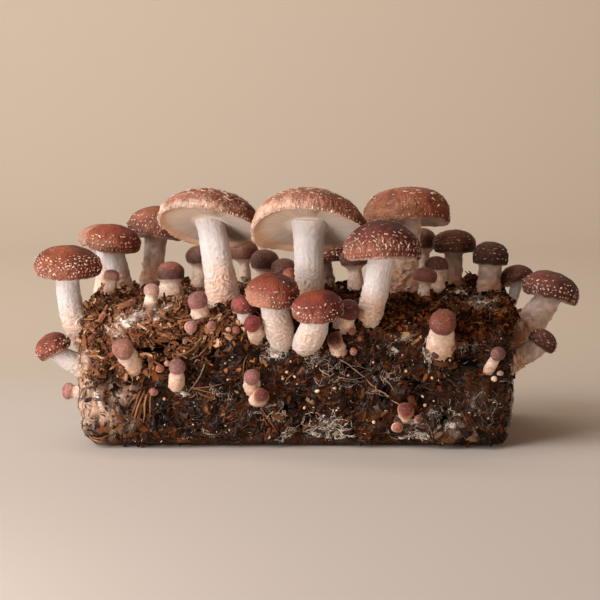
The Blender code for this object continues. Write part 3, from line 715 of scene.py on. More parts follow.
# %% [markdown]
# ## Cap skin
# The skin of a shiitake cap is a thin brown felt that cracks as the cap widens and shows cream flesh in
# the cracks. Fine fibres run from the centre to the rim, so that noise is read from a vector that changes
# fast round the cap, (cos a, sin a) times its radius, and slowly down it. The felt is matt, with a faint
# sheen at its edge.

# %% Cap skin finish
cap_skin, tree = new_material("shiitake cap skin grown", Roughness=0.5, Specular_IOR_Level=0.24,
                              Sheen_Weight=0.04, Sheen_Roughness=0.4)
place = add_node(tree, "TexCoord", {}, "Object")
tone = add_node(tree, "Attribute", {}, "Color", attribute_name="tone")
cracked = add_node(tree, "Attribute", {}, "Alpha", attribute_name="tone")
rays = add_node(tree, "Attribute", {}, "Vector", attribute_name="rays")
felt = add_node(tree, "TexNoise", {"Vector": place, "Scale": 1 / MM, "Detail": 3}, "Fac")
blotch = add_node(tree, "TexNoise", {"Vector": place, "Scale": 0.16 / MM, "Detail": 4}, "Fac")
fibre = add_node(tree, "TexNoise", {"Vector": rays, "Scale": 0.9 / MM, "Detail": 3}, "Fac")
base = shaded(tree, tone, blotch, 0.3, 0.7, 0.6, 1.2)
crack = add_node(tree, "MapRange", {"Value": fibre, "From Min": 0.5, "From Max": 0.68}, **SOFT)
crack = add_node(tree, "Math", {0: crack, 1: cracked}, operation="MULTIPLY")
base = add_node(tree, "Mix", {SHARE: crack, FROM: base, TO: rgba("E0BCA6")}, **COLOURS)
speck = add_node(tree, "MapRange", {"Value": felt, "From Min": 0.58, "From Max": 0.74, "To Max": 0.6}, **SOFT)
base = add_node(tree, "Mix", {SHARE: speck, FROM: base, TO: rgba("3E1C12")}, **COLOURS)
height = add_node(tree, "Math", {0: felt, 1: fibre}, operation="ADD")
finish(tree, {"Base Color": base,
              "Normal": add_node(tree, "Bump", {"Height": height, "Strength": 0.85, "Distance": 1.2 * MM})})
print(cap_skin.name, "has", len(tree.nodes), "nodes")

# %% [markdown]
# ## Gills
# Gills are thin blades of pale flesh, about a millimetre apart at the rim. Light passes through the
# flesh a little, which subsurface scattering gives. Their colour darkens towards the fold between blades,
# painted shade carried in the tone of each point.

# %% Gill finish
gill_flesh, tree = new_material("shiitake gills grown", Roughness=0.7, Specular_IOR_Level=0.25,
                                Subsurface_Weight=0.25, Subsurface_Scale=3 * MM,
                                Subsurface_Radius=FLESH_DEPTHS)
tone = add_node(tree, "Attribute", {}, "Color", attribute_name="tone")
rays = add_node(tree, "Attribute", {}, "Vector", attribute_name="rays")
fibre = add_node(tree, "TexNoise", {"Vector": rays, "Scale": 1.05 / MM, "Detail": 1}, "Fac")
finish(tree, {"Base Color": shaded(tree, tone, fibre, 0.35, 0.65, 0.89, 1.06),
              "Normal": add_node(tree, "Bump", {"Height": fibre, "Strength": 0.3, "Distance": 0.4 * MM})})
print(gill_flesh.name, "has", len(tree.nodes), "nodes")

# %% [markdown]
# ## Colours of the caps
# The skin's colour runs from centre to rim, and the rim of the cracked caps is mostly cream flesh. The side
# that faces the key light at the left is painted paler, with more rim colour and more cream cracks, and the
# other side is painted darker and redder: painted light and shade. Gills are pale at the stem, and warm and
# darker at the rim, in their folds and on the key light's side, where the rim hides them: all painted shade.
# The colours are worked out for each point, because no tiling pattern follows a cap this way.

# %% Cap colours
GILL_PALE = linear("FDF0E6")
# Gill colour at the rim, warmer and darker than at the stem: painted shade
GILL_RIM_SHADE = linear("EAC4A8")
# Gill colour in the folds between blades: painted shade
GILL_FOLD_SHADE = linear("DDB898")
# A brown streak across the gills of the widest caps, towards the front
GILL_STREAK = linear("B07C48")
LIP_CREAM = linear("E2C4B0")
DARK_PATCH = linear("4A1A10")
# What the side away from the key light keeps of the skin's colour, painted shade, and what the gills keep on
# the key light's side, painted shade where the rim hides them from it
PAINTED_SHADE_SIDE = np.array([0.52, 0.31, 0.22])
GILL_LEFT_PAINTED_SHADE = np.array([0.95, 0.86, 0.78])
# Share of the skin that is cracked to cream towards the margin, by kind
CRACKED_SHARE = {"cracked": 0.4, "ringed": 0.24, "hooked": 0.12, "dotted": 0.1, "beaded": 0.04,
                 "sparse": 0.05, "plain": 0.03}


def gill_colours(angle, way, key_side, toward, wide):
    """Gill flesh, blended from the rim's painted shade to pale at the stem, then with painted shade in its
    folds: every second column, and with painted shade on the key light's side, where the rim hides the gills
    from it. The widest caps have a brown streak of exp(-(angle / 0.11) ** 2) in one direction."""
    gill = blend(GILL_RIM_SHADE, GILL_PALE, smooth_step(way, 2.0, 2.45)[..., None])
    gill = blend(gill, GILL_FOLD_SHADE, 0.45 * (np.arange(angle.shape[1]) % 2 == 0)[None, :, None])
    off = np.angle(np.exp(1j * (angle - math.atan2(toward[1], toward[0]))))
    streak_share = (np.exp(-(off / 0.11) ** 2) if wide else 0 * way) * smooth_step(2.9 - way, 0, 0.5)
    # Painted shade on the gills on the key light's side, where the rim hides them from the light
    return blend(gill * (1 + (GILL_LEFT_PAINTED_SHADE - 1) * key_side), GILL_STREAK, 0.6 * np.clip(streak_share, 0, 1)[..., None])


def cap_colours(row, angle, way, own, frame_turn):
    """Linear colours of a cap's points, its tip and its seat, and as a fourth number how cracked the skin is
    there: the kind's share, more towards the margin and on the side of the key light, which paints light
    there.
    The skin is painted paler on that side and darker and redder on the other: painted light and shade."""
    wide = row.scales == "cracked"
    centre, middle, rim = palette(row.centre_hex, row.middle_hex, row.rim_hex)
    wander = (way + 0.14 * noise(own, 6, 24) + 0.06 * noise(own, 2.5, 26))[..., None]
    ray = np.stack([np.cos(angle), np.sin(angle), 0 * angle], -1) @ frame_turn.T
    facing_left = -ray[..., 0] - 0.3 * ray[..., 1] + 0.25 * noise(own, 12, 28)
    # Share that faces the key light at the left: the skin is painted lighter there, and darker and redder on
    # the other side
    key_side = smooth_step(facing_left, -0.75, 0.75)[..., None]
    skin = blend(centre, middle, smooth_step(wander, 0.25, 0.6))
    skin = blend(skin, rim, smooth_step(wander, 0.7, 1.05) * (0.25 + 0.75 * key_side))
    patch = smooth_step(noise(own, 11, 23) + 0.4 * noise(own, 4, 27), 0.25, 0.7)
    skin = blend(skin, DARK_PATCH, 0.5 * (patch * smooth_step(1.0 - way, 0, 0.3))[..., None])
    # Painted shade: the side away from the key light keeps only part of the skin's colour
    skin = skin * (PAINTED_SHADE_SIDE + (1 - PAINTED_SHADE_SIDE) * key_side)
    skin = blend(skin, LIP_CREAM, smooth_step(wander, 1.5, 1.8) * (0.9 if wide else 0.5))
    gill = gill_colours(angle, way, key_side, frame_turn.T @ np.array([0.12, -1, 0]), wide)
    colour = np.where((way > 1.98)[..., None], gill, skin)
    cracked = CRACKED_SHARE[row.scales] * (0.1 + 0.9 * smooth_step(way, 0.45, 0.95))
    cracked = cracked * smooth_step(2 - way, 0, 0.3) * (0.15 + 0.85 * key_side[..., 0])
    colour = np.concatenate([colour, cracked[..., None]], -1).reshape(-1, 4)
    return np.vstack([colour, [*centre, 0.1], [*GILL_PALE, 0]])


print("kinds of cap skin:", len(CRACKED_SHARE))

# %% [markdown]
# ## Growing the caps
# Each cap is one closed shell. The two widest caps get two columns of points for each gill, so their
# blades are real pleats; the others are smaller or face away, and get fewer points.

# %% Caps
# Rings of the dome, of the margin and of the underside, and points in a ring
CAP_MESHES = {"wide": (84, 14, 16, 360), "large": (60, 12, 8, 224), "small": (36, 10, 8, 120)}
# Groups of cap skins, by how the names of their mushrooms begin
DARK_CAPS = ("back_middle", "back_right", "side_right_low")
RED_CAPS = ("low", "middle", "side_right")


def make_cap(row, shift):
    """One cap: its rings, colours and noise vectors, put into the frame at its crown."""
    kind = "wide" if row.scales == "cracked" else "large" if row.cap_radius > LARGE_CAP else "small"
    domes, rolls, unders, columns = CAP_MESHES[kind]
    way = np.concatenate([np.linspace(0.03, 1, domes), 1 + np.linspace(0, 1, rolls + 1)[1:],
                          2 + np.linspace(0, 1, unders + 1)[1:]])
    angle, way = np.meshgrid(np.arange(columns) * math.tau / columns, way)
    local = cap_surface(row, shift, angle, way)
    normal = cap_normals(row, shift, angle, np.clip(way, 0.02, 2.99))
    relief, rays, own = cap_relief(row, shift, angle, way, local)
    local = local + normal * relief[..., None]
    under = smooth_step(way, 2.0, 2.25) * smooth_step(3.0 - way, 0, 0.15)
    local[..., 2] += (0.9 if kind == "wide" else 0.4) * under * (np.arange(columns) % 2)[None]
    crown, frame_turn = np.array(row.crown), cap_turn(row)
    grid = local @ frame_turn.T + crown
    tip = cap_surface(row, shift, np.zeros(1), np.zeros(1))[0] @ frame_turn.T + crown
    shells = closed(grid[None], tip[None], crown[None]) * MM
    rays = np.vstack([rays.reshape(-1, 3), [[0, 0, shift * MM]], [[0, 0, shift * MM]]])
    shade = "dark" if row.name.startswith(DARK_CAPS) else "red" if row.name.startswith(RED_CAPS) else "brown"
    cap = add_shells(row.name + "_cap", shells, len(way), columns, [cap_skin, gill_flesh],
                     cap_colours(row, angle, way, own, frame_turn), {"rays": rays},
                     gill_row=domes + rolls - 1, slot="cap_skin_" + shade)
    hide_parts("cap_" + row.name)


for index, row in enumerate(OPEN_MUSHROOMS):
    make_cap(row, CAP_SHIFT * index)
print("caps made, triangles:", sum(count for name, count in made if name.endswith("_cap")))

# %% [markdown]
# ## Cream scales
# Where the felt tore, small cream scales and beads stand up, in rings round the cap. They are flakes laid
# on the cap surface. Each kind of cap has its own rings, and more scales are strewn between them, spread by
# area so that they are as close near the centre as near the margin. Torn flesh is matt and lets a little
# light in, which rounds it to the eye.

# %% Scale tables
# Rings of scales: way down the cap, how many, length, width, and turn away from the ring
RINGS = {
    "cracked": [(1.3, 110, 1.4, 0.9, 1.3), (1.8, 150, 1.1, 0.7, 1.4)],
    "ringed": [(0.5, 10, 2.2, 0.8, 0.2), (0.6, 21, 3.4, 1.5, 0.15), (0.8, 30, 1.5, 0.7, 1.0),
               (1.3, 70, 1.2, 0.7, 1.2)],
    "hooked": [(0.42, 8, 1.5, 0.5, 0.2), (0.53, 14, 1.7, 0.55, 0.3), (0.63, 26, 1.8, 0.7, 0.5),
               (0.72, 34, 1.8, 0.75, 0.7), (0.81, 42, 1.8, 0.75, 0.8), (0.9, 48, 1.7, 0.75, 0.9),
               (0.99, 54, 1.6, 0.7, 1.0), (1.15, 60, 1.4, 0.7, 1.2), (1.45, 64, 1.3, 0.7, 1.3)],
    "dotted": [(0.6, 26, 1.3, 0.8, 0.2), (0.69, 40, 1.6, 0.9, 0.2), (0.78, 48, 1.6, 1.0, 0.3),
               (0.88, 54, 1.5, 0.9, 0.5), (0.98, 58, 1.3, 0.8, 0.7), (1.15, 60, 1.2, 0.8, 0.9),
               (1.4, 60, 1.1, 0.8, 1.2)],
    "beaded": [(0.74, 30, 1.7, 0.8, 0.2), (0.92, 40, 1.5, 1.0, 0.4), (1.08, 46, 1.2, 0.9, 0.8),
               (1.4, 48, 1.1, 0.8, 1.2)],
    "sparse": [(0.5, 12, 2.0, 0.6, 0.1), (0.63, 18, 2.2, 0.7, 0.1), (0.76, 24, 2.2, 0.7, 0.1),
               (0.88, 28, 1.8, 0.7, 0.1), (1.15, 34, 1.2, 0.7, 0.6)],
    "plain": [(1.05, 26, 1.0, 0.6, 0.4)],
}
# Scales strewn between the rings: how many, from and to which way, length, width, and spread of the turn
STREWN = {
    "cracked": [(420, 0.08, 0.72, 2.2, 0.62, 0.3), (260, 0.68, 1.15, 1.1, 0.45, 1.2)],
    "ringed": [(90, 0.1, 0.5, 1.4, 0.5, 0.3), (170, 0.6, 1.25, 1.1, 0.5, 1.2)],
    "hooked": [(10, 0.1, 0.4, 1.4, 0.5, 0.4), (40, 0.7, 1.2, 1.0, 0.5, 1.2)],
    "dotted": [(14, 0.3, 0.6, 0.8, 0.5, 0.9), (40, 0.6, 1.4, 0.9, 0.6, 0.9)],
    "beaded": [(12, 0.2, 0.7, 1.0, 0.6, 0.9), (30, 0.7, 1.3, 0.9, 0.6, 0.9)],
    "sparse": [(16, 0.3, 1.1, 1.0, 0.6, 0.7)],
    "plain": [(8, 0.3, 1.1, 0.9, 0.6, 0.7)],
}
# Caps under this radius have as large a share of the numbers above as of the radius
FULL_RINGS = 15
FLESH_CREAM = linear("E6CAB2")
print("rings of scales:", {kind: len(rings) for kind, rings in RINGS.items()})

# %% [markdown]
# ## Laying the scales
# A scale has its way down the cap and its angle round it, and lies flat with a random turn away from its
# ring. Its size and colour vary, and one in eight is missing, as on a real cap.

# %% Scales on the caps
def ring_scales(way, count, length, width, turn):
    """One ring of scales, evenly round the cap: ways, angles, length, width and turns away from the ring."""
    ways = np.full(count, way) + rng.normal(0, 0.018, count)
    angles = (np.arange(count) + rng.uniform(-0.35, 0.35, count)) * math.tau / count
    return ways, angles, length, width, turn * rng.choice([-1, 1], count) + rng.normal(0, 0.25, count)


def strewn_scales(row, shift, count, start, end, length, width, swing):
    """Scales at random angles and at ways that give equal areas equal numbers: a draw from the running sum
    of radius * step down the cap."""
    ways = np.linspace(start, end, 60)
    line = cap_surface(row, shift, 0 * ways, ways)
    steps = np.linalg.norm(np.diff(line, axis=0), axis=1) * (line[1:, 0] + 0.2)
    total = np.concatenate([[0], np.cumsum(steps)])
    ways = np.interp(rng.uniform(0, total[-1], count), total, ways)
    return ways, rng.uniform(0, math.tau, count), length, width, rng.normal(0, swing, count)


def lay_scales(row, shift, way, angle, length, width, turn):
    """One set of scales laid on the cap's relief: what flakes() takes, and a colour for each, from cream to
    the skin's own. One in eight is missing."""
    count = len(way)
    way = way + 0.03 * np.sin(3 * angle + shift)
    spot = cap_surface(row, shift, angle, way)
    up = cap_normals(row, shift, angle, way)
    ringwise = unit(cap_surface(row, shift, angle + 0.02, way) - spot)
    along = ringwise * np.cos(turn)[:, None] + np.cross(up, ringwise) * np.sin(turn)[:, None]
    size = rng.lognormal(0, 0.28, count) * (0.8 if row.cap_radius < 17 else 1)
    kept = rng.uniform(0, 1, count) > 0.12
    lift = cap_relief(row, shift, angle, way, spot)[0][:, None] + 0.2
    turn_matrix = cap_turn(row).T
    spot = (spot + up * lift) @ turn_matrix + np.array(row.crown)
    shape = (spot * MM, along @ turn_matrix, up @ turn_matrix, length * size * MM, width * size * MM,
             0.5 * width * size * MM, rng.uniform(0.0, 0.2, count))
    fade = rng.uniform(0, 0.8, (count, 1)) ** (0.5 if row.scales == "sparse" else 1.2)
    cream = FLESH_CREAM * rng.uniform(0.75, 1.05, (count, 1))
    return [values[kept] for values in shape], blend(cream, 1.3 * linear(row.middle_hex), fade)[kept]


scale_shapes, scale_tones = [], []
for index, row in enumerate(OPEN_MUSHROOMS):
    shift, share = CAP_SHIFT * index, min(1, row.cap_radius / FULL_RINGS)
    sets = [ring_scales(way, int(share * count), *size) for way, count, *size in RINGS[row.scales]]
    sets += [strewn_scales(row, shift, int(share * count), *rest) for count, *rest in STREWN[row.scales]]
    for places in sets:
        shape, tones = lay_scales(row, shift, *places)
        scale_shapes.append(shape)
        scale_tones.append(tones)
shells = flakes(*(np.concatenate(values) for values in zip(*scale_shapes)), crumple=0.1)

flesh, tree = new_material("shiitake flesh torn", Roughness=0.6, Specular_IOR_Level=0.35,
                           Subsurface_Weight=0.15, Subsurface_Scale=2 * MM, Subsurface_Radius=FLESH_DEPTHS)
finish(tree, {"Base Color": add_node(tree, "Attribute", {}, "Color", attribute_name="tone")})
add_flakes("cap_scales", shells, np.concatenate(scale_tones), flesh, "stem_flesh")
print("scales:", len(shells))

# %% [markdown]
# ## Stem flesh
# A stem is a bundle of pale fibres along its length. It is nearly white under the cap and turns to peach and
# tan towards the block, where its skin breaks into ragged ledges. Noise is read from a vector that is
# squeezed about eight times along the stem, so its grain becomes fibres a millimetre wide.

# %% Stem finish
stem_skin, tree = new_material("shiitake stem fibres", Roughness=0.68, Specular_IOR_Level=0.3,
                               Subsurface_Weight=0.5, Subsurface_Scale=6 * MM, Subsurface_Radius=FLESH_DEPTHS)
tone = add_node(tree, "Attribute", {}, "Color", attribute_name="tone")
strands = add_node(tree, "Attribute", {}, "Vector", attribute_name="strands")
place = add_node(tree, "TexCoord", {}, "Object")
fibre = add_node(tree, "TexNoise", {"Vector": strands, "Scale": 0.9 / MM, "Detail": 3}, "Fac")
mottle = add_node(tree, "TexNoise", {"Vector": place, "Scale": 0.35 / MM, "Detail": 3}, "Fac")
both = add_node(tree, "Math", {0: fibre, 1: mottle}, operation="MULTIPLY")
finish(tree, {"Base Color": shaded(tree, tone, both, 0.12, 0.36, 0.92, 1.04),
              "Normal": add_node(tree, "Bump", {"Height": both, "Strength": 0.7, "Distance": 1.2 * MM})})
print(stem_skin.name, "has", len(tree.nodes), "nodes")

# %% [markdown]
# ## Course and skin of a stem
# A stem follows the curve that the solids use, a quadratic bend from foot to crown. Its radius is a parabola
# through foot, middle and crown with a small flare under the cap. Its skin has fibres, ragged ledges and,
# on some, warts, each a field of its own, so that each can fade where the real stem is smooth.

# %% Stem course and skin
STEM_PALE = linear("C9C3C0")
STEM_PEACH = linear("DFB494")
STEM_TAN = linear("C09272")
# Stems that are covered in warts, and by how much these are browner
WARTY = ("rear_right", "side_right_low", "side_right_high", "back_right", "back_right_corner",
         "back_left_inner", "back_middle")
WARTY_TAN = linear("EEDACB")
# The direction that a stem's rings are measured from
STEM_REFERENCE = np.array([0, 1, 0.0])


def stem_course(row, t):
    """Places along a stem for shares t from foot to crown, in millimetres, and its radius there. Both are
    quadratic in t, and the radius flares by 0.14 * step ** 1.5 under the cap."""
    foot, crown, bend = (np.array(v, float) for v in (row.foot, row.crown, row.bend))
    low, mid, high = row.stem_radii
    t = np.asarray(t)[..., None]
    path = foot * (1 - t) ** 2 + ((foot + crown) / 2 + bend) * 2 * t * (1 - t) + crown * t ** 2
    t = t[..., 0]
    radius = low * (1 - t) * (1 - 2 * t) + mid * 4 * t * (1 - t) + high * t * (2 * t - 1)
    return path, radius * (1 + 0.14 * smooth_step(t, 0.9, 1.1) ** 1.5)


def ragged(place, height, pitch, seed):
    """Ledges up a stem, from 0 to 1: the fraction of height / pitch after noise has bent the count, so that
    each ledge swells upwards and ends in a torn lip."""
    count = height / pitch + 1.1 * noise(place, 6, seed) + 0.7 * noise(place, 2.4, seed + 1)
    return (count - np.floor(count)) ** 1.6


def stem_relief(row, t, place, strands, height):
    """How rough the stem is up its length, its ledges, its warts, and the relief in millimetres that fibres,
    lumps, ledges and warts make together."""
    plump = row.name.startswith("low")
    rough = smooth_step(1 - t, 0.0, 0.35) if plump else smooth_step(1 - t, 0.25, 0.7)
    rough = (rough * (1 - 0.5 * smooth_step(1 - t, 0.9, 1.0)) * (0.6 if plump else 1))[:, None]
    ledges = ragged(place, height, 3.4, 32)
    warts = noise(place, 2.8, 36) if row.name in WARTY else np.zeros(place.shape[:2])
    relief = (0.14 * noise(strands, 1.5, 30) + 0.35 * noise(place, 7, 31) + 0.22 * noise(place, 1.2, 33)
              + rough * (1.1 * ledges - 0.5 + 0.25 * noise(place, 2, 37)) + (0.5 + 0.5 * rough) * 1.3 * warts)
    return rough, ledges, warts, relief


def stem_colours(row, place, rough, ledges, warts):
    """Pale under the cap, peach and tan where the stem is rough, and browner where it has warts."""
    peach = np.clip(rough * (0.55 + 0.45 * noise(place, 7, 34) - 0.35 * ledges + 0.35), 0, 1)
    tan = smooth_step(0.7 * noise(place, 3, 35) + rough - 0.3 * ledges, 0.95, 1.35)
    colour = blend(STEM_PALE, STEM_PEACH, 0.85 * peach[..., None])
    colour = blend(colour, STEM_TAN, 0.28 * tan[..., None])
    if row.name in WARTY:
        colour = colour * WARTY_TAN * (1 + 0.3 * np.clip(warts, -1, 0.3))[..., None]
    return np.vstack([colour.reshape(-1, 3), STEM_PALE, STEM_TAN])


print("thickest foot:", 2 * max(row.stem_radii[0] for row in OPEN_MUSHROOMS), "mm across")

# %% [markdown]
# ## Growing the stems
# A stem is one closed tube of rings from the crown down to the foot, and its relief is pushed into it along
# its outward directions. Those under wide caps, and two that stand in front, get more points.

# %% Stems
def make_stem(row, index):
    """One stem: rings from the crown down to the foot."""
    big = row.cap_radius > LARGE_CAP or row.name.startswith(("low_centre", "side_right_high"))
    stations, columns = (140, 112) if big else (64, 44)
    t = np.linspace(1.11 if row.scales == "cracked" else 1.04, 0, stations)
    path, radius = stem_course(row, t)
    grid, outward = tubes(path[None], radius[None], columns, STEM_REFERENCE)
    grid, outward = grid[0], outward[0]
    height = (np.linalg.norm(np.array(row.crown) - np.array(row.foot)) * t)[:, None]
    a = np.arange(columns) * math.tau / columns
    strands = np.stack(np.broadcast_arrays(8 * np.cos(a)[None], 8 * np.sin(a)[None], 0.12 * height), -1)
    strands = (strands + 30.0 * index) * MM
    place = grid * MM
    rough, ledges, warts, relief = stem_relief(row, t, place, strands, height)
    grid = grid + outward * relief[..., None]
    strands = np.vstack([strands.reshape(-1, 3), strands[0, 0], strands[-1, 0]])
    shells = closed(grid[None], path[None, 0], path[None, -1]) * MM
    stem = add_shells(row.name + "_stem", shells, stations, columns, [stem_skin],
                      stem_colours(row, place, rough, ledges, warts), {"strands": strands}, slot="stem_flesh")
    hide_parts("stem_" + row.name)


for index, row in enumerate(OPEN_MUSHROOMS):
    make_stem(row, index)
print("stems made, triangles:", sum(count for name, count in made if name.endswith("_stem")))

# %% [markdown]
# ## Ragged skin of the stems
# Towards the foot the outer fibres split and stand off as shards, mostly pointing up. They are flakes on the
# stem surface with their free end lifted.

# %% Shards on the stems
shard_shapes = []
for row in OPEN_MUSHROOMS:
    count = 210 if row.cap_radius > LARGE_CAP else 150 if row.cap_radius > 14 else 60
    plump = row.name.startswith("low")
    t = 1 - rng.uniform(0.05 if plump else 0.15, 0.98, count) ** (0.9 if plump else 0.6)
    a = rng.uniform(0, math.tau, count)
    path, radius = stem_course(row, t)
    ahead = unit(stem_course(row, t + 0.01)[0] - path)
    side = unit(np.cross(-ahead, STEM_REFERENCE))
    out = np.cos(a)[:, None] * side + np.sin(a)[:, None] * np.cross(side, -ahead)
    swing = rng.normal(0, 0.6, count)[:, None]
    lift = rng.uniform(0.0, 0.4, count)[:, None]
    along = unit(ahead * np.cos(swing) + np.cross(out, ahead) * np.sin(swing))
    facing = unit(out * np.cos(lift) - along * np.sin(lift))
    along = unit(along * np.cos(lift) + out * np.sin(lift))
    size = rng.lognormal(0, 0.35, count) * (1 if row.cap_radius > LARGE_CAP else 0.75) * (0.6 + 0.5 * (1 - t))
    shard_shapes.append(((path + out * (radius + 0.1)[:, None]) * MM, along, facing, 1.4 * size * MM,
                         0.5 * size * MM, 0.25 * size * MM, rng.uniform(0, 0.25, count)))
shells = flakes(*(np.concatenate(values) for values in zip(*shard_shapes)), crumple=0.1)
tones = blend(linear("E2C3AC"), STEM_PALE, rng.uniform(0, 1, (len(shells), 1)))
add_flakes("stem_shards", shells, tones, flesh, "stem_flesh")
print("shards:", len(shells))

# %% [markdown]
# ## Buttons
# A button is a young mushroom whose cap is still closed round its stem: a velvety plum ball with a pale
# margin on a plump cream foot. It is one shell. The outline is a dome, a tuck under the margin, and a
# stem that swells a little towards the block.

# %% Button finish
button_skin, tree = new_material("shiitake button velvet", Roughness=0.6, Specular_IOR_Level=0.35,
                                 Subsurface_Weight=0.12, Subsurface_Scale=2 * MM,
                                 Subsurface_Radius=FLESH_DEPTHS, Sheen_Weight=0.12, Sheen_Roughness=0.4)
tone = add_node(tree, "Attribute", {}, "Color", attribute_name="tone")
place = add_node(tree, "TexCoord", {}, "Object")
nap = add_node(tree, "TexNoise", {"Vector": place, "Scale": 0.85 / MM, "Detail": 3}, "Fac")
base = shaded(tree, tone, nap, 0.3, 0.7, 0.72, 1.22)
dust = add_node(tree, "MapRange", {"Value": nap, "From Min": 0.6, "From Max": 0.76, "To Max": 0.45}, **SOFT)
base = add_node(tree, "Mix", {SHARE: dust, FROM: base, TO: rgba("D9B49E")}, **COLOURS)
finish(tree, {"Base Color": base,
              "Normal": add_node(tree, "Bump", {"Height": nap, "Strength": 0.6, "Distance": 0.9 * MM})})
print(button_skin.name, "has", len(tree.nodes), "nodes")

# %% [markdown]
# ## Growing the buttons
# Buttons and pins differ in size, not in shape, so one function grows them all. It turns the outline into
# rings, folds the stem's skin and leans the whole from its foot to its tip. The foot is peach, like the
# foot of an open mushroom's stem.

# %% Button shells
FOOT_PEACH = linear("DAAA82")
MARGIN_CREAM = linear("EBCDB8")
# What is kept of the red, green and blue of the table's colours, which makes them warmer
WARMER = (1.0, 0.89, 0.8)
# Rings and points in a ring, of a button and of a pin
BUTTON_MESH = (46, 32)
PIN_MESH = (18, 14)


def young(foot, tip, stem_radius, cap_radius, cap_height, cap_hex, margin_hex, rows, columns, seed):
    """Points in metres and colours of one young mushroom. For a way of 0 to 1 its outline is a dome, to 2 a
    quarter turn under the margin, and to 3 a stem that widens to 1.3 times its radius at the foot."""
    foot, tip = np.array(foot, float), np.array(tip, float)
    length = np.linalg.norm(tip - foot)
    lip = length - cap_height
    widest = lip + 0.38 * cap_height
    margin = 0.5 * (cap_radius + stem_radius)
    way = np.linspace(0, 3, rows + 1)[1:]
    dome, tuck, down = np.clip(way, 0, 1), np.clip(way - 1, 0, 1), np.clip(way - 2, 0, 1)
    bend = dome * math.pi / 2
    r = cap_radius * np.sin(bend) ** (2 / DOME_FULLNESS)
    z = widest + (length - widest) * np.maximum(np.cos(bend), 0) ** (2 / DOME_FULLNESS)
    edge = tuck * math.pi / 2
    r = np.where(way > 1, margin + (cap_radius - margin) * np.cos(edge) ** 0.7, r)
    z = np.where(way > 1, widest + (lip - widest) * np.sin(edge), z)
    neck = smooth_step(down, 0, 0.12)
    stem = margin + (stem_radius - margin) * neck + 0.3 * stem_radius * smooth_step(down, 0.1, 0.7)
    r = np.where(way > 2, stem, r)
    z = np.where(way > 2, lip * (1 - down) + 0.1 * cap_height * (1 - neck) * down, z)
    a = np.arange(columns) * math.tau / columns
    local = np.stack(np.broadcast_arrays(r[:, None] * np.cos(a), r[:, None] * np.sin(a), z[:, None]), -1)
    local[..., :2] *= (1 + 0.04 * np.sin(2 * a + seed) + 0.03 * np.sin(3 * a + 2 * seed))[None, :, None]
    own = (local + 50.0 * seed) * MM
    out = np.stack(np.broadcast_arrays(np.cos(a)[None], np.sin(a)[None], 0 * r[:, None]), -1)
    stem_part = smooth_step(way, 2.05, 2.2)[:, None]
    folds = ragged(own, z[:, None], 0.45 * stem_radius, 41)
    bumps = (0.035 * cap_radius * noise(own, 3.5, 40) * np.minimum(1, r / (0.5 * cap_radius))[:, None]
             + stem_part * stem_radius * (0.15 * folds + 0.09 * noise(own, 1.6, 42)))
    local = local + out * bumps[..., None]
    grid = local @ turn_to((tip - foot) / length).T + foot
    cap, rim = palette(cap_hex, margin_hex) * WARMER
    wander = way[:, None] + 0.08 * noise(own, 4, 43)
    colour = blend(cap, rim, smooth_step(wander, 0.45, 0.95)[..., None])
    colour = blend(colour, MARGIN_CREAM, smooth_step(wander, 1.45, 1.8)[..., None])
    peach = np.clip(smooth_step(way, 2.2, 2.9)[:, None] * (0.7 + 0.5 * noise(own, 3, 44)), 0, 1)
    colour = blend(colour, FOOT_PEACH, peach[..., None])
    colour = colour * (0.9 + 0.24 * noise(own, 2.5, 45) + 0.1 * noise(own, 6, 46))[..., None]
    shells = closed(grid[None], tip[None], foot[None])[0] * MM
    return shells, np.vstack([colour.reshape(-1, 3), cap, FOOT_PEACH])


for index, row in enumerate(BUTTONS):
    points, colour = young(*row, *BUTTON_MESH, 1.7 * index)
    slot = "button_skin_dark" if index in (5, 6) or index > 14 else "button_skin"
    name = f"young_{index + 1:02d}"
    button = add_shells(name, points[None], *BUTTON_MESH, [button_skin], colour, slot=slot)
    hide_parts(f"button_{index + 1:02d}")
print("buttons made:", len(BUTTONS))

# %% [markdown]
# ## Pins
# The youngest fruit are pins: balls of one to five millimetres with a darker crown. They sit on the skin of
# the block, so each is given by its place on the plain box and how far it stands out.

# %% Pins
# Pins on the front: x, z, how far the tip stands out, cap radius, colours of crown and margin
PINS = [
    (-65, 73, 9, 3.9, "A07874", "D2A898"), (-53, 74, 7, 2.6, "8A625E", "A87C74"),
    (-42.5, 72, 4, 1.6, "D9B29C", "E6C8B4"), (-38, 71, 6, 2.5, "96584A", "A86C5C"),
    (-87.5, 34, 6, 2.4, "9A645C", "C08C80"), (33, 59.5, 5, 2.2, "A57466", "C79A86"),
    (32, 71.5, 5, 2.3, "8E5C4C", "A87866"), (36.5, 67.5, 4, 1.5, "8A5A4A", "A5745F"),
    (71.5, 18.5, 8, 2.4, "6E3E38", "D2A490"), (59, 13, 8, 3.2, "9E6A5A", "DDB8A2"),
    (82, 57, 5, 2.4, "4A2C28", "7A5448"), (92, 61.5, 4, 2.4, "9A6A5A", "B5887A"),
    (122, 45.5, 4, 1.6, "A07C70", "BFA090"), (-81.5, 29.5, 3, 1.0, "E2C0A4", "F0DCC8"),
    (-52.5, 70, 3, 1.3, "B08A7C", "C9A898"), (-84, 49, 6, 2.4, "A5624E", "C98A70"),
    (-79, 52, 5, 1.8, "B88C78", "E2C2AC"), (118, 42, 4, 1.8, "E2C8B4", "EBD8C8"),
]
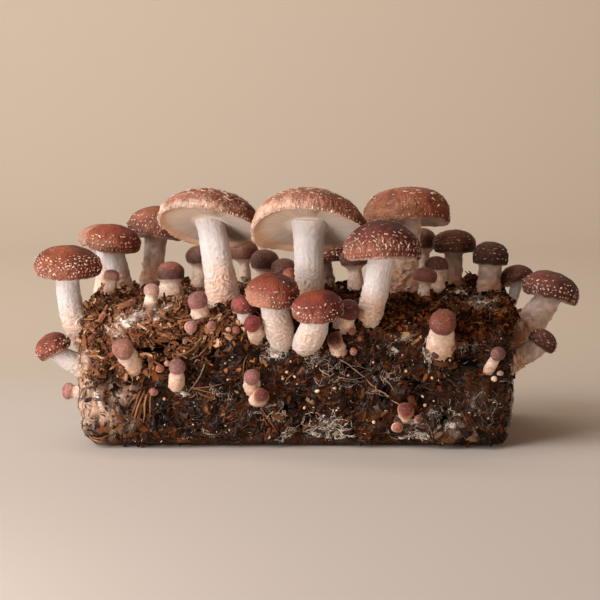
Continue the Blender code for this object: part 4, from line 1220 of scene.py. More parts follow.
# Small white pins on the front: x, z
WHITE_PINS = [
    (-43, 42), (-7, 47), (-3, 44), (-9, 42), (-7.5, 39.5), (3.5, 25), (9, 25), (21, 37.5), (30, 45),
    (8, 58), (45, 53.5), (45, 17), (62, 57), (65, 48), (74, 32.5), (76.5, 26.5), (81, 29.5), (80, 44),
    (91, 54), (-84, 76),
]
WHITE_PIN_RADII = (0.6, 0.85, 0.7, 1.05)


def front_spot(x, z):
    """The place on the front of the skin at x and z, and its outward direction, in millimetres."""
    spot, out = block_skin(np.array([[x * MM, -HALF[1], z * MM]]))
    return spot[0] / MM, out[0]


pins = []
for index, (x, z, stand, radius, crown_hex, margin_hex) in enumerate(PINS):
    spot, out = front_spot(x, z)
    tip = spot + (out + np.array([0.1 * math.sin(index), 0, 0.25])) * stand
    pins.append(young(spot - out * 2, tip, 0.8 * radius, radius, 1.5 * radius, crown_hex, margin_hex,
                      *PIN_MESH, 0.9 * index))
for index, (x, z) in enumerate(WHITE_PINS):
    spot, out = front_spot(x, z)
    radius = WHITE_PIN_RADII[index % 4]
    lean = np.array([0.5 * math.sin(3.7 * index), 0, 0.4 * math.cos(2.1 * index)])
    tip = spot + (out + lean) * 2.2 * radius
    pins.append(young(spot - out * 1.5, tip, 0.7 * radius, radius, 1.4 * radius, "E3BFA2", "F2E2D0",
                      *PIN_MESH, 1.3 * index))
# The one pin on the top, between the two big caps
pins.append(young((-4.3, -22, 82), (-5.6, -24, 105.5), 3.2, 4.9, 8, "94513E", "A0604C", *PIN_MESH, 5.0))
shells, tones = zip(*pins)
add_shells("pins", np.array(shells), *PIN_MESH, [button_skin], np.vstack(tones), slot="button_skin")
print("pins:", len(pins))

# %% [markdown]
# ## Strewing on the block
# Chips, straw and threads all need a place on the skin. Places are drawn evenly over five sides of the
# plain box, carried to the skin, and thinned where something else grows. Anything that would sit inside a
# stem or a button is dropped.

# %% Places on the skin
sites = []
for row in OPEN_MUSHROOMS:
    path, radius = stem_course(row, np.linspace(0, 1, 24))
    sites.append(np.column_stack([path, radius]))
for foot, tip, stem_radius, cap_radius, *_ in BUTTONS:
    t = np.linspace(0, 1, 10)[:, None]
    sites.append(np.column_stack([np.array(foot) * (1 - t) + np.array(tip) * t,
                                  np.where(t < 0.6, stem_radius, cap_radius)]))
sites = np.vstack(sites) * MM


def box_places(count, sides=("front", "top", "back", "left", "right")):
    """Random points of the plain box, spread evenly by area over its sides."""
    w, d, h = BLOCK_SIZE
    area = {"front": w * h, "top": w * d, "back": w * h, "left": d * h, "right": d * h}
    weights = np.array([area[s] for s in sides])
    side = rng.choice(len(sides), count, p=weights / weights.sum())
    a, b = rng.uniform(-1, 1, (2, count))
    points = np.empty((count, 3))
    for number, name in enumerate(sides):
        here = side == number
        flat = {"front": (a * HALF[0], -HALF[1] + 0 * a, HALF[2] * (1 + b)),
                "back": (a * HALF[0], HALF[1] + 0 * a, HALF[2] * (1 + b)),
                "top": (a * HALF[0], b * HALF[1], 2 * HALF[2] + 0 * a),
                "left": (-HALF[0] + 0 * a, a * HALF[1], HALF[2] * (1 + b)),
                "right": (HALF[0] + 0 * a, a * HALF[1], HALF[2] * (1 + b))}[name]
        points[here] = np.stack(flat, 1)[here]
    return points


def to_skin(points):
    """Any points near the block, carried to the skin by way of the nearest side of the plain box."""
    centre = np.array([0, 0, HALF[2]])
    offset = (points - centre) / HALF
    side = np.abs(offset).argmax(-1)
    rows = np.arange(len(points))
    offset = np.clip(offset, -1, 1)
    offset[rows, side] = np.sign(offset[rows, side])
    return block_skin(centre + offset * HALF)


def free_of_mushrooms(points, margin):
    """True where a point is outside every stem and button by a share of its radius."""
    free = np.ones(len(points), bool)
    for chunk in np.array_split(np.arange(len(points)), max(1, len(points) // 4000)):
        gap = np.linalg.norm(points[chunk, None] - sites[None, :, :3], axis=-1)
        free[chunk] = (gap > margin * sites[None, :, 3]).all(1)
    return free


def tangents(outward, lean=None):
    """A random direction along the skin for each outward direction, and the direction across it."""
    guess = rng.normal(size=outward.shape) if lean is None else lean + 0.35 * rng.normal(size=outward.shape)
    along = unit(guess - outward * (guess * outward).sum(-1, keepdims=True))
    return along, np.cross(outward, along)


print("places kept free round stems and buttons:", len(sites))

# %% [markdown]
# ## Wood chips and shavings
# Coarse sawdust is small flat chips, cut along the grain. Torn places show them loose and standing up at
# all angles, orange to tan; wet places hold them flat and dark. Shavings are thin and long, crumbs are
# thick and short. Their colour is carried point by point, and the finish adds grain and a water film.

# %% Chip finish
chip_skin, tree = new_material("oak chips cut and damp")
tone = add_node(tree, "Attribute", {}, "Color", attribute_name="tone")
dryness = add_node(tree, "Attribute", {}, "Alpha", attribute_name="tone")
place = add_node(tree, "TexCoord", {}, "Object")
grain = add_node(tree, "TexNoise", {"Vector": place, "Scale": 1.3 / MM, "Detail": 2}, "Fac")
gloss = {"Value": dryness, "From Min": 0.2, "To Min": 0.14, "To Max": 0.05}
finish(tree, {
    "Base Color": shaded(tree, tone, grain, 0.3, 0.7, 0.6, 1.3),
    "Roughness": add_node(tree, "MapRange", {"Value": dryness, "To Min": 0.2, "To Max": 0.85}),
    "Specular IOR Level": add_node(tree, "MapRange", gloss),
    "Normal": add_node(tree, "Bump", {"Height": grain, "Strength": 0.5, "Distance": 0.5 * MM}),
})
print(chip_skin.name, "has", len(tree.nodes), "nodes")

# %% [markdown]
# ## Colours and flow of the chips
# A chip's colour is drawn from the palette of its zone, so that no two neighbours match. Neighbours lie
# along one flow, as pressed sawdust does.

# %% Chip colours
DRY_CHIPS = palette("905C40", "A67354", "64412E", "C49C7A", "42281B", "966444", "764E36", "825238")
WET_CHIPS = palette("1A0B04", "261106", "381B0A", "110602", "4A260F", "623618", "200D05", "2E1508")
RED_CHIPS = palette("321808", "54290E", "1C0D06", "663612", "261206", "44220C", "6E4020")
CHIP_CREAM = linear("E6CFB8")


def flow(points):
    """The direction in which fibres lie at each point. Its slope on the front is an angle from a smooth
    field, so that neighbours lie together in swirls about two centimetres wide."""
    angle = 0.3 + 2.4 * noise(points, 20, 60)
    return np.stack([np.cos(angle), 0.6 * np.sin(1.7 * angle), np.sin(angle)], 1)


def chip_colours(points, dry, white):
    """One colour for each chip: drawn from the palette of its zone, then whitened by mycelium."""
    count = len(points)
    left = smooth_step(-points[:, 0] / MM + 10 * noise(points, 20, 50), -30, 50)
    dry_pick = DRY_CHIPS[rng.integers(0, len(DRY_CHIPS), count)]
    red_pick = RED_CHIPS[rng.integers(0, len(RED_CHIPS), count)]
    wet_pick = WET_CHIPS[rng.integers(0, len(WET_CHIPS), count)]
    warm = np.where(rng.uniform(0, 1, count)[:, None] < left[:, None], dry_pick, red_pick)
    colour = np.where(rng.uniform(0, 1, count)[:, None] < dry[:, None], warm, wet_pick)
    colour = colour * rng.uniform(0.7, 1.15, (count, 1))
    return blend(colour, CHIP_CREAM, (white ** 2 * rng.uniform(0.2, 1.0, count))[:, None])


print("chip colours:", len(DRY_CHIPS) + len(WET_CHIPS) + len(RED_CHIPS))

# %% [markdown]
# ## Layers of chips
# Each chip's place, size and tilt are drawn at random, and it is kept by the zone it falls in. The front
# gets the most kinds, because it is what one sees; the sides and the back are rubbed flatter.

# %% Chips
def make_chips(name, count, sides, length, width, thickness, level, in_wet=0.3):
    """Strewn chips of one mesh, with a typical length and width in millimetres, a thickness as a share of
    the width, level, the share of their tilt that is kept: 0 lies flat and 1 stands at any angle, and
    in_wet, the share of them that is kept where the skin is wet."""
    places, outward = block_skin(box_places(count, sides))
    dry, white = zones(places)
    bare = (1 - 0.8 * white) * (1 - 0.85 * films(places)[0])
    keep = rng.uniform(0, 1, count) < (in_wet + (1 - in_wet) * dry) * bare
    keep &= free_of_mushrooms(places, 0.9)
    keep &= (outward[:, 2] > -0.75) & (places[:, 2] > 1.5 * MM)
    relief = crumbs(places, outward)
    keep &= relief > -2.6
    places, outward, dry, white, relief = (v[keep] for v in (places, outward, dry, white, relief))
    count = len(places)
    along, across = tangents(outward, flow(places))
    tilt = rng.normal(0, 1, (count, 1)) * level * (0.25 + 0.75 * dry[:, None])
    roll = rng.normal(0, 1, (count, 1)) * level * 1.3 * (0.3 + 0.7 * dry[:, None])
    facing = outward * np.cos(roll) + across * np.sin(roll)
    along, facing = along * np.cos(tilt) + facing * np.sin(tilt), facing * np.cos(tilt) - along * np.sin(tilt)
    size = rng.lognormal(0, 0.55 if thickness > 0.5 else 0.42, count)
    widths = np.minimum(width * size * rng.lognormal(0, 0.25, count), 4.5)
    places = places + outward * ((relief + rng.uniform(-0.1, 0.7, count) * (0.4 + dry)) * MM)[:, None]
    shells = flakes(places, along, facing, np.minimum(length * size, 11) * MM, widths * MM,
                    thickness * widths * MM, rng.normal(0, 0.14, count), crumple=0.2)
    shells[..., 2] = np.maximum(shells[..., 2], 0.2 * MM)
    colour = np.concatenate([chip_colours(places, dry, white), (0.2 + 0.8 * dry)[:, None]], 1)
    add_flakes(name, shells, colour, chip_skin, "sawdust_block", smooth=False)
    return count


counts = [
    make_chips("shavings_front", 4600, ("front",), 3.8, 1.1, 0.16, 0.5, 0.14),
    make_chips("shreds_front", 2200, ("front",), 7.0, 1.4, 0.12, 0.3, 0.85),
    make_chips("crumbs_front", 9000, ("front",), 1.6, 1.2, 0.7, 0.9, 0.1),
    make_chips("shavings_top", 5200, ("top",), 4.2, 1.2, 0.14, 0.6),
    make_chips("crumbs_top", 4000, ("top",), 1.9, 1.3, 0.6, 0.9),
    make_chips("shavings_sides", 5600, ("left", "right", "back"), 4.4, 1.4, 0.14, 0.18),
    make_chips("crumbs_sides", 4200, ("left", "right", "back"), 1.8, 1.3, 0.6, 0.6),
]
print("chips:", counts)

# %% [markdown]
# ## Straw and wood fibres
# Between the chips lie straws, twigs and long fibres, golden where dry and brown where wet. Each is a thin
# tube through a few points between two ends, carried back to the skin and lifted a little. A tube is made
# this way, not as a Blender curve, because thousands of them can then share one mesh. Straw keeps its thin
# wax, so it is the one glossy thing among the dry chips.

# %% Straw
straw_skin, tree = new_material("wheat straw chopped", Roughness=0.45, Specular_IOR_Level=0.5)
finish(tree, {"Base Color": add_node(tree, "Attribute", {}, "Color", attribute_name="tone")})


# Long pieces bridge the hollows, so they follow only this share of the crumbs' relief
RELIEF_FOLLOWED = 0.6
# How thick a tube is at its six stations, as a share of its radius
TAPER = np.array([0.6, 0.95, 1, 1, 0.9, 0.5])
STRAW_TONES = palette("A87A44", "C49A5E", "7A4E28", "8E5E30", "5A3A20", "6E3F1C", "B58650")


def lay_threads(name, starts, ends, radii, lift, wander, material, colours, slot, sides=3):
    """Thin tubes on the skin: six points from start to end, moved by wander * length * noise, carried to the
    skin and lifted by lift * (0.35 + sin(pi s))."""
    s = np.linspace(0, 1, len(TAPER))[None, :, None]
    count = len(starts)
    length = np.linalg.norm(ends - starts, axis=1)[:, None, None]
    bow = rng.normal(0, 1, (count, 1, 3)) * np.sin(math.pi * s)
    sway = bow + rng.normal(0, 0.6, (count, 1, 3)) * np.sin(2 * math.pi * s)
    line = starts[:, None] + (ends - starts)[:, None] * s + wander * sway * length
    laid, outward = to_skin(line.reshape(-1, 3))
    laid = laid + outward * (crumbs(laid, outward) * RELIEF_FOLLOWED * MM)[:, None]
    laid, outward = laid.reshape(line.shape), outward.reshape(line.shape)
    paths = laid + outward * (lift[:, None, None] * (0.35 + np.sin(math.pi * s)))
    grid, _ = tubes(paths, radii[:, None] * TAPER[None], sides, outward)
    shells = closed(grid, paths[:, 0], paths[:, -1])
    shells[..., 2] = np.maximum(shells[..., 2], 0.15 * MM)
    tones = np.repeat(colours, shells.shape[1], 0)
    add_shells(name, shells, len(TAPER), sides, [material], tones, slot=slot)
    return count


count = 4200
starts, outward = block_skin(box_places(count))
dry, white = zones(starts)
keep = free_of_mushrooms(starts, 1.0) & (rng.uniform(0, 1, count) < 0.9 - 0.5 * white)
keep &= starts[:, 2] > 3 * MM
starts, outward, dry = starts[keep], outward[keep], dry[keep]
count = len(starts)
along, _ = tangents(outward, flow(starts))
tones = STRAW_TONES[rng.integers(0, len(STRAW_TONES), count)] * (0.28 + 0.62 * dry[:, None]) * (1, 0.85, 0.7)
reach = rng.uniform(3, 11, (count, 1)) * MM
print("straws:", lay_threads("straw", starts, starts + along * reach, rng.uniform(0.1, 0.27, count) * MM,
                             rng.uniform(0.1, 1.0, count) * MM, 0.12, straw_skin, tones, "sawdust_block"))

# %% [markdown]
# ## Twigs laid one by one
# The eye finds a few long and light pieces first: twigs across the torn part, a straw that crosses the
# middle, bark at the bottom. They are laid one by one, from a table of where they lie on the front in
# millimetres. A twig is a straw with six sides and a larger radius.

# %% Twigs
# A plane just before the front, from which listed pieces are carried to the skin
FRONT = -70
# Twigs on the front: x and z of both ends, radius and colour
TWIGS = [
    (-51, 66.5, -65, 49, 1.0, "A8886A"), (-56, 55, -66.5, 35, 0.8, "8E6E50"),
    (-76, 58, -57.5, 68, 1.5, "6E4A2C"), (-74, 60, -60, 69.5, 0.9, "A8763F"),
    (-92, 38, -99, 18, 1.2, "9A6030"), (-93.5, 38, -101.5, 20, 1.1, "7E4A20"),
    (-90, 37, -94, 16, 1.1, "A86E3A"), (-88.5, 36, -90.5, 18, 0.9, "8E5426"),
    (-96, 36, -104, 24, 1.2, "6A3C1C"), (-66, 38, -46, 40, 0.7, "8A6040"),
    (-63, 36, -60, 29, 0.5, "7A4E2A"), (-61, 35, -52, 30, 0.6, "9A6A3C"), (-65, 37, -50, 35, 0.5, "A87A4A"),
    (-24, 28, -12, 7, 0.6, "8A5424"), (-24, 29, -17, 12, 0.5, "7A4618"), (-129, 5, -118, 4, 1.0, "A8682E"),
    (-126, 7, -112, 8, 0.9, "8A5426"), (-30, 58, -34, 42, 0.6, "7E4E26"), (-3, 46, -9, 36, 0.4, "B08A60"),
    (12, 50, 20, 43, 0.4, "D9B890"), (24, 55, 32, 49, 0.5, "E0C4A0"), (32, 49, 40, 43, 0.55, "C8A070"),
    (40, 43, 47, 37, 0.5, "B88E5C"), (47, 37, 57, 29.5, 0.6, "C8A478"), (57, 29.5, 64, 25, 0.5, "C8A478"),
    (50, 45, 57, 36, 0.3, "D9C0A0"), (84, 64, 92, 76, 0.6, "8E5E30"), (87, 74, 96, 66, 0.5, "7A4A20"),
    (60, 76, 71, 80, 0.5, "A8763F"), (-8, 62, -14, 54, 0.4, "8E5A30"), (60, 66, 72, 71, 0.5, "9A7048"),
    (-101, 52, -112, 55, 0.9, "8A5028"), (-98, 40, -108, 44, 0.6, "8A6A50"),
]
near_x, near_z, far_x, far_z, radii = np.array([twig[:5] for twig in TWIGS]).T
front = np.full(len(TWIGS), FRONT)
starts = np.stack([near_x, front, near_z], 1) * MM
ends = np.stack([far_x, front, far_z], 1) * MM
tones = palette(*(twig[5] for twig in TWIGS)) * 0.75
lift = rng.uniform(0.5, 1.4, len(TWIGS)) * MM
print("twigs:", lay_threads("twigs", starts, ends, 0.6 * radii * MM, lift, 0.05, straw_skin, tones,
                            "sawdust_block", sides=6))

# %% [markdown]
# ## Leaves and light chips laid one by one
# Bark, leaves and the lightest chips are broad flakes. Each is turned in the plane of the skin by an angle
# from level, and its facing side tips up or down at random by as much as the table says.

# %% Leaves and light chips
# Leaves and chips on the front: x, z, length, width, turn from level in degrees, how far it stands up, colour
LEAVES = [
    (-87, 46, 15, 4.2, 112, 0.4, "8A4E24"), (-87, 76, 5, 3.0, 95, 0.3, "C49A6C"),
    (-80, 74.5, 9.5, 2.6, 5, 0.3, "C8A070"), (-92, 72, 6.5, 3.4, 20, 0.4, "B07A44"),
    (-78, 80, 8, 3.0, -15, 0.6, "9A6030"), (-70, 79, 8, 3.0, 15, 0.5, "A8683A"),
    (-83, 66, 13, 4.5, 8, 0.3, "8E5C34"), (-75, 64, 9, 3.5, -6, 0.4, "9A6438"),
    (-98, 33, 6, 4, 60, 0.5, "A8622E"), (-52, 33, 4.5, 3.2, 30, 0.3, "B88458"),
    (-44, 48, 4, 3, 70, 0.3, "A87048"), (-55, 24, 9, 3, -70, 0.4, "8E5C30"),
    (-58, 8, 14, 4, -8, 0.3, "4E2A14"), (-100, 10, 16, 5, 12, 0.4, "6A3A1C"),
    (-118, 12, 12, 4, 25, 0.5, "7A4420"), (-108, 14, 9, 3, 30, 0.5, "8E5426"),
    (-28, 54, 5, 4, 80, 0.3, "B8723C"), (-21, 52, 6, 3, -60, 0.4, "A86430"),
    (-36, 49, 4, 3, 10, 0.4, "B07844"), (-46, 21, 4, 2.4, 40, 0.2, "D0A070"),
    (-38, 35, 3.5, 2.4, -20, 0.3, "C08A58"), (-13, 20, 11, 6, -25, 0.3, "8A5A2C"),
    (-6, 30, 7, 3, 70, 0.3, "7A4A22"), (8, 29, 14, 5, -20, 0.2, "B89468"),
    (13, 20, 12, 4, -40, 0.2, "8E6236"), (30, 18, 8, 4, 40, 0.3, "6E4420"),
    (38, 34, 7, 4, 75, 0.4, "7E5028"), (35, 52, 8, 4, -30, 0.3, "5A3416"),
    (20, 60, 6, 3, -40, 0.4, "8A5A30"), (52, 52, 6, 3, 60, 0.4, "6A3C18"),
    (76, 44, 7, 3, 65, 0.4, "8E5A28"), (84, 46, 6, 3, 100, 0.4, "6E4018"),
    (92, 50, 10, 4, 20, 0.3, "5A3414"), (90, 8, 18, 6.5, 12, 0.3, "8A5A30"),
    (104, 9, 17, 6, -6, 0.3, "8E6A48"), (84, 11, 8, 4, 40, 0.4, "A88A68"),
    (96, 26, 12, 6, 20, 0.2, "4A2E12"), (106, 38, 10, 5, -30, 0.3, "54330F"),
    (62, 70, 12, 4, 14, 0.3, "C09A6C"), (70, 66, 8, 3, 30, 0.3, "9A7044"),
    (88, 72, 11, 4.5, 60, 0.6, "8A5420"), (94, 68, 9, 4, -60, 0.6, "6E4018"),
    (100, 74, 10, 4, 20, 0.6, "5E3414"), (110, 70, 9, 4, -25, 0.6, "7A4A1C"),
    (58, 80, 9, 3.4, 10, 0.5, "7A4620"), (70, 84, 10, 4, -12, 0.6, "5A3216"),
    (116, 60, 12, 4, 85, 0.4, "4E2C14"), (36, 68, 9, 3.5, 20, 0.4, "6A3A18"),
    (-4, 10, 8, 4, 30, 0.3, "A88458"), (24, 8, 12, 4, 15, 0.2, "C8B090"), (4, 13, 6, 4, 60, 0.3, "A06C34"),
    (45, 12, 14, 6, -10, 0.2, "5A3818"), (-30, 12, 16, 6, 5, 0.2, "452710"),
    (-80, 12, 18, 6, 8, 0.2, "3A2010"),
]
x, z, length, width, turn, stand = np.array([leaf[:6] for leaf in LEAVES], float).T
spots, outward = block_skin(np.stack([x * MM, np.full(len(x), -HALF[1]), z * MM], 1))
level = unit(np.cross(np.array([0, 0, 1.0]), outward))
upright = np.cross(outward, level)
turn = np.radians(turn)[:, None]
along = level * np.cos(turn) + upright * np.sin(turn)
facing = unit(outward - upright * stand[:, None] * rng.uniform(-1, 1, (len(x), 1)))
along = unit(along - facing * (along * facing).sum(-1, keepdims=True))
spots = spots + outward * ((crumbs(spots, outward) * RELIEF_FOLLOWED + 1.2) * MM)[:, None]
length = np.minimum(length, np.where(z > 40, 15, 11)) * 0.75
width = np.minimum(width, np.where(z > 40, 5, 4.2)) * 0.7
curl = rng.normal(0, 0.1, len(x))
shells = flakes(spots, along, facing, length * MM, width * MM, 0.06 * width * MM, curl, 0.14)
# Low on the block it is wet, and colours darken there, least at the left end
wetting = np.where(z < 40, np.where(x < -50, 0.75, 0.45), 0.8)[:, None]
tones = np.hstack([palette(*(leaf[6] for leaf in LEAVES)) * wetting, np.full((len(x), 1), 0.5)])
add_flakes("leaves", shells, tones, chip_skin, "sawdust_block", smooth=False)
print("leaves and light chips:", len(shells))

# %% [markdown]
# ## Splinters along the edges
# Seen from the front, the top edge of the block is frayed: splinters of straw and wood stand up along the
# back and the left edge. They are flakes set nearly upright.

# %% Splinters
count, back_count = 190, 90
x, y = rng.uniform(-122, 122, count), rng.normal(52, 5, count)
left_edge = np.arange(count) >= back_count
x = np.where(left_edge, rng.normal(-124, 2.5, count), x)
y = np.where(left_edge, rng.uniform(-60, 55, count), y)
spots, outward = block_skin(np.stack([x, np.clip(y, -64, 64), np.full(count, 85)], 1) * MM)
along = unit(np.array([0, 0, 1.0]) + rng.normal(0, 0.35, (count, 3)))
facing = unit(np.cross(along, rng.normal(0, 1, (count, 3))))
length = rng.uniform(3, 9, count)
curl = rng.normal(0, 0.1, count)
shells = flakes(spots, along, facing, length * MM, 0.32 * length * MM, 0.12 * length * MM, curl, 0.1)
tones = np.hstack([chip_colours(spots, np.ones(count), np.zeros(count)), np.full((count, 1), 0.9)])
add_flakes("edge_splinters", shells, tones, chip_skin, "sawdust_block", smooth=False)
print("splinters:", count)

# %% [markdown]
# ## Mycelium
# The fungus itself is a web of white threads. It spans small hollows as nets. A net is made of knots strewn
# in an oval, each tied to its three nearest neighbours. Real strands are finer than a tenth of a millimetre.
# They are drawn up to 0.4 mm thick so that they show. They are dry and cotton-like: matt, and softened by
# the light that passes through.

# %% Mycelium threads
mycelium, tree = new_material("mycelium threads grown", Roughness=0.7, Subsurface_Weight=0.2,
                              Subsurface_Scale=1 * MM, Specular_IOR_Level=0.3)
finish(tree, {"Base Color": add_node(tree, "Attribute", {}, "Color", attribute_name="tone")})
# Nets on the front: centre, reach, how many knots, thickness of the strands, and how white
NETS = [
    ((13, 13), (13, 8), 90, 0.34, 1.0), ((20, 6), (13, 4), 40, 0.3, 1.0), ((-9, 5), (5, 4), 22, 0.3, 1.0),
    ((-13, 22), (9, 7), 26, 0.24, 0.6), ((86, 20), (9, 7), 40, 0.24, 0.95),
    ((72, 8), (8, 4), 30, 0.32, 1.0), ((66, 16), (12, 9), 26, 0.18, 0.6),
    ((48, 42), (16, 12), 20, 0.2, 0.7), ((111, 28), (12, 12), 12, 0.12, 0.35),
    ((64, 68), (8, 4), 18, 0.2, 0.8), ((78, 57), (3, 8), 18, 0.28, 1.0), ((-16, 58), (8, 6), 26, 0.26, 0.9),
    ((101, 62), (8, 4), 20, 0.16, 0.6), ((-48, 34), (9, 6), 14, 0.18, 0.7),
    ((8, 55), (8, 6), 22, 0.18, 0.8), ((20, 44), (10, 9), 26, 0.18, 0.7),
    ((-60, 8), (14, 4), 12, 0.18, 0.7),
]
THREAD_WHITE = linear("F6E9DA")
THREAD_BROWN = linear("A87C58")
# Each net has this many times its knots, of strands this share as thick
NET_DENSITY, NET_FINENESS = 1.9, 0.64
LOOSE_THREADS = 2600

starts, ends, radii, bright = [], [], [], []
for (x, z), (wide, tall), knots, thick, light in NETS:
    knots, thick = int(NET_DENSITY * knots), NET_FINENESS * thick
    spot = np.array([x, z]) + rng.normal(0, 0.5, (knots, 2)) * (wide, tall)
    gaps = np.linalg.norm(spot[:, None] - spot[None], axis=-1) + 99 * np.eye(knots)
    near = np.argsort(gaps, axis=1)[:, :3].ravel()
    one = np.repeat(np.arange(knots), 3)
    for store, which in ((starts, one), (ends, near)):
        store.append(np.column_stack([spot[which, 0], np.full(len(which), FRONT), spot[which, 1]]) * MM)
    radii.append(thick * rng.uniform(0.3, 0.9, len(one)))
    bright.append(light * rng.uniform(0.4, 1.0, len(one)) ** 0.7)
loose, loose_out = block_skin(box_places(LOOSE_THREADS))
keep = (zones(loose)[1] > 0.25) | ((loose_out[:, 1] < -0.5) & (rng.uniform(0, 1, LOOSE_THREADS) < 0.18))
keep &= free_of_mushrooms(loose, 1.0)
loose, loose_out = loose[keep], loose_out[keep]
starts.append(loose)
ends.append(loose + tangents(loose_out)[0] * rng.uniform(2, 5, (len(loose), 1)) * MM)
radii.append(rng.uniform(0.05, 0.12, len(loose)))
bright.append(rng.uniform(0.2, 0.75, len(loose)))
starts, ends = np.vstack(starts), np.vstack(ends)
radii, bright = np.concatenate(radii), np.concatenate(bright)[:, None]
tones = THREAD_WHITE * bright + THREAD_BROWN * (1 - bright)
lift = rng.uniform(0.2, 1.5, len(starts)) * MM
print("threads:", lay_threads("mycelium_threads", starts, ends, radii * MM, lift, 0.12, mycelium, tones,
                              "stem_flesh"))

# %% [markdown]
# ## Mats and flecks
# Where the threads are thickest they mat into white felt, and small pale flecks of flesh and crumbled
# mycelium lie all over the block. Both are small flakes: those of a mat lie side by side wherever the skin
# is white, and flecks are as thick as they are wide.

# %% Mycelium mats and flecks
MAT_TRIES, FLECK_TRIES = 9000, 1500
places, outward = block_skin(box_places(MAT_TRIES))
keep = rng.uniform(0.25, 1.1, MAT_TRIES) < zones(places)[1]
keep &= free_of_mushrooms(places, 1.0) & (places[:, 2] > 1.5 * MM)
places, outward = places[keep], outward[keep]
# The front is named twice, so that it gets twice its share
flecks, fleck_out = block_skin(box_places(FLECK_TRIES, ("front", "front", "top", "left", "right", "back")))
keep = free_of_mushrooms(flecks, 1.05) & (rng.uniform(0, 1, FLECK_TRIES) < 0.5) & (flecks[:, 2] > 3 * MM)
flecks, fleck_out = flecks[keep], fleck_out[keep]
along, _ = tangents(outward, np.array([1.0, 0, 0.4]))
facing = unit(outward + 0.35 * rng.normal(0, 1, outward.shape))
along = unit(along - facing * (along * facing).sum(-1, keepdims=True))
size = rng.lognormal(0, 0.4, len(places))
places = places + outward * ((crumbs(places, outward) + 0.3) * MM)[:, None]
mats = flakes(places, along, facing, 2.3 * size * MM, 0.6 * size * MM, 0.25 * size * MM,
              rng.normal(0, 0.15, len(places)), 0.15)
along, _ = tangents(fleck_out)
size = rng.lognormal(0, 0.35, len(flecks))
flecks = flecks + fleck_out * ((crumbs(flecks, fleck_out) + 0.35) * MM)[:, None]
dots = flakes(flecks, along, fleck_out, size * MM, 0.75 * size * MM, 0.7 * size * MM,
              rng.normal(0, 0.1, len(flecks)), 0.15)
tones = np.vstack([linear("DAD2CC") * rng.uniform(0.4, 0.95, (len(mats), 1)),
                   linear("EBCFB4") * rng.uniform(0.45, 1.0, (len(dots), 1))])
shells = np.vstack([mats, dots])
shells[..., 2] = np.maximum(shells[..., 2], 0.2 * MM)
add_flakes("mycelium_mats", shells, tones, mycelium, "stem_flesh")
print("mat flakes:", len(mats), "flecks:", len(dots))

# %% [markdown]
# ## Floor and wall
# The floor and the wall are one pale sweep with no edge, as in a photographer's studio. Its colour turns
# darker and yellower towards the back: painted shade for the light that falls off towards the wall. It is a
# profile of points drawn out to seven metres' width.

# %% Floor and wall
s = np.linspace(0, 1, 40)
flat = np.stack([0 * s, -2.5 + 3.6 * s, 0 * s], 1)
bend = np.stack([0 * s, 1.1 + 0.9 * np.sin(s * math.pi / 2), 0.9 * (1 - np.cos(s * math.pi / 2))], 1)
wall = np.stack([0 * s, 2.0 + 0 * s, 0.9 + 2.5 * s], 1)
profile = np.vstack([flat, bend[1:], wall[1:]])
sweep_points = np.vstack([profile + (x, 0, 0) for x in (-3.5, 3.5)])
sweep_mesh = bpy.data.meshes.new("sweep")
lines = len(profile)
quads = [(i, i + lines, i + 1 + lines, i + 1) for i in range(lines - 1)]
sweep_mesh.from_pydata(sweep_points.tolist(), [], quads)
sweep_mesh.shade_smooth()
sweep = bpy.data.objects.new("sweep", sweep_mesh)
bpy.context.scene.collection.objects.link(sweep)
paper, tree = new_material("studio paper matt and graduated", Roughness=0.9, Specular_IOR_Level=0.2)
place = add_node(tree, "TexCoord", {}, "Object")
depth = add_node(tree, "SeparateXYZ", {0: place}, "Y")
# Darker and yellower towards the back: painted shade for the light that falls off towards the wall
back = add_node(tree, "MapRange", {"Value": depth, "From Min": 0.03, "From Max": 0.3}, **SOFT)
tone = add_node(tree, "Mix", {SHARE: back, FROM: rgba("C9BFB5"), TO: rgba("C3B6A6")}, **COLOURS)
finish(tree, {"Base Color": tone})
sweep_mesh.materials.append(paper)
print("sweep:", lines, "lines")

# %% [markdown]
# ## Light
# A large soft light from the left makes the modelling. Two weak ones low in front, like white cards, open
# the gills and the right sides, and one lights the wall. The air gives a faint warm light from all sides.

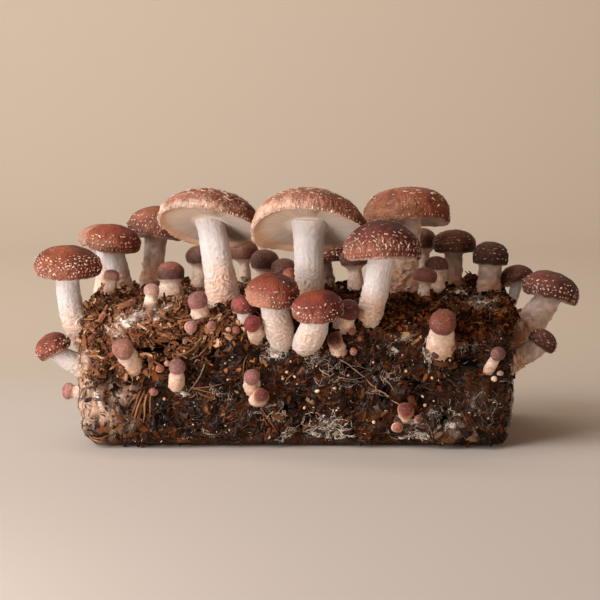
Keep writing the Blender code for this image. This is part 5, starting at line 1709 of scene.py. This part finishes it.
# %% Lights
def add_light(name, place, aim, size, power, hex_colour):
    """A square area light at a place, turned to what it lights."""
    light = bpy.data.lights.new(name, "AREA")
    light.shape = "SQUARE"
    light.size = size
    light.energy = power
    light.color = linear(hex_colour)
    lamp = bpy.data.objects.new(name, light)
    lamp.location = place
    lamp.rotation_mode = "QUATERNION"
    lamp.rotation_quaternion = (Vector(aim) - Vector(place)).to_track_quat("-Z", "Y")
    bpy.context.scene.collection.objects.link(lamp)


add_light("key", (-2.06, -1.23, 1.43), (0, 0, 0.08), 2.2, 92, "FAFBFF")
add_light("low card", (-0.43, -0.55, 0.03), (-0.02, -0.04, 0.14), 0.32, 4.8, "FFF4EE")
add_light("fill card", (0.9, -1.0, 0.08), (0, -0.03, 0.12), 0.5, 4.0, "FFEADA")
add_light("wall light", (-0.6, 0.5, 1.5), (-0.2, 2.1, 0.5), 1.4, 16.5, "FFF5E8")
world = bpy.data.worlds.new("studio air")
world.use_nodes = True
world.node_tree.nodes["Background"].inputs["Color"].default_value = rgba("FCCEA8")
world.node_tree.nodes["Background"].inputs["Strength"].default_value = 0.21
bpy.context.scene.world = world
bpy.context.scene.view_settings.view_transform = "Standard"
print("lights:", len(bpy.data.lights))

# %% [markdown]
# ## Camera
# A long lens from a metre and a half keeps the block's edges nearly parallel, as in the photograph, and the
# camera looks down by seven degrees.

# %% Camera
VIEW_ELEVATION = math.radians(7)
VIEW_DISTANCE = 1.5
AIM = Vector((0.0006, -0.065, 0.0907))
LOOK = Vector((0, math.cos(VIEW_ELEVATION), -math.sin(VIEW_ELEVATION)))
camera_data = bpy.data.cameras.new("camera")
camera_data.lens = 150
camera_data.sensor_width = 36
camera_data.clip_end = 20
camera = bpy.data.objects.new("camera", camera_data)
camera.location = AIM - LOOK * VIEW_DISTANCE
camera.rotation_mode = "QUATERNION"
camera.rotation_quaternion = LOOK.to_track_quat("-Z", "Y")
bpy.context.scene.collection.objects.link(camera)
bpy.context.scene.camera = camera
print("camera at:", [round(place, 3) for place in camera.location])

# %% [markdown]
# ## Triangles and pieces
# Chips and scales may stand a little proud of the solids, but the whole has to keep their size. The
# numbers of triangles and pieces are printed.

# %% Finish
print("triangles:", sum(count for _, count in made), "pieces:", len(made))
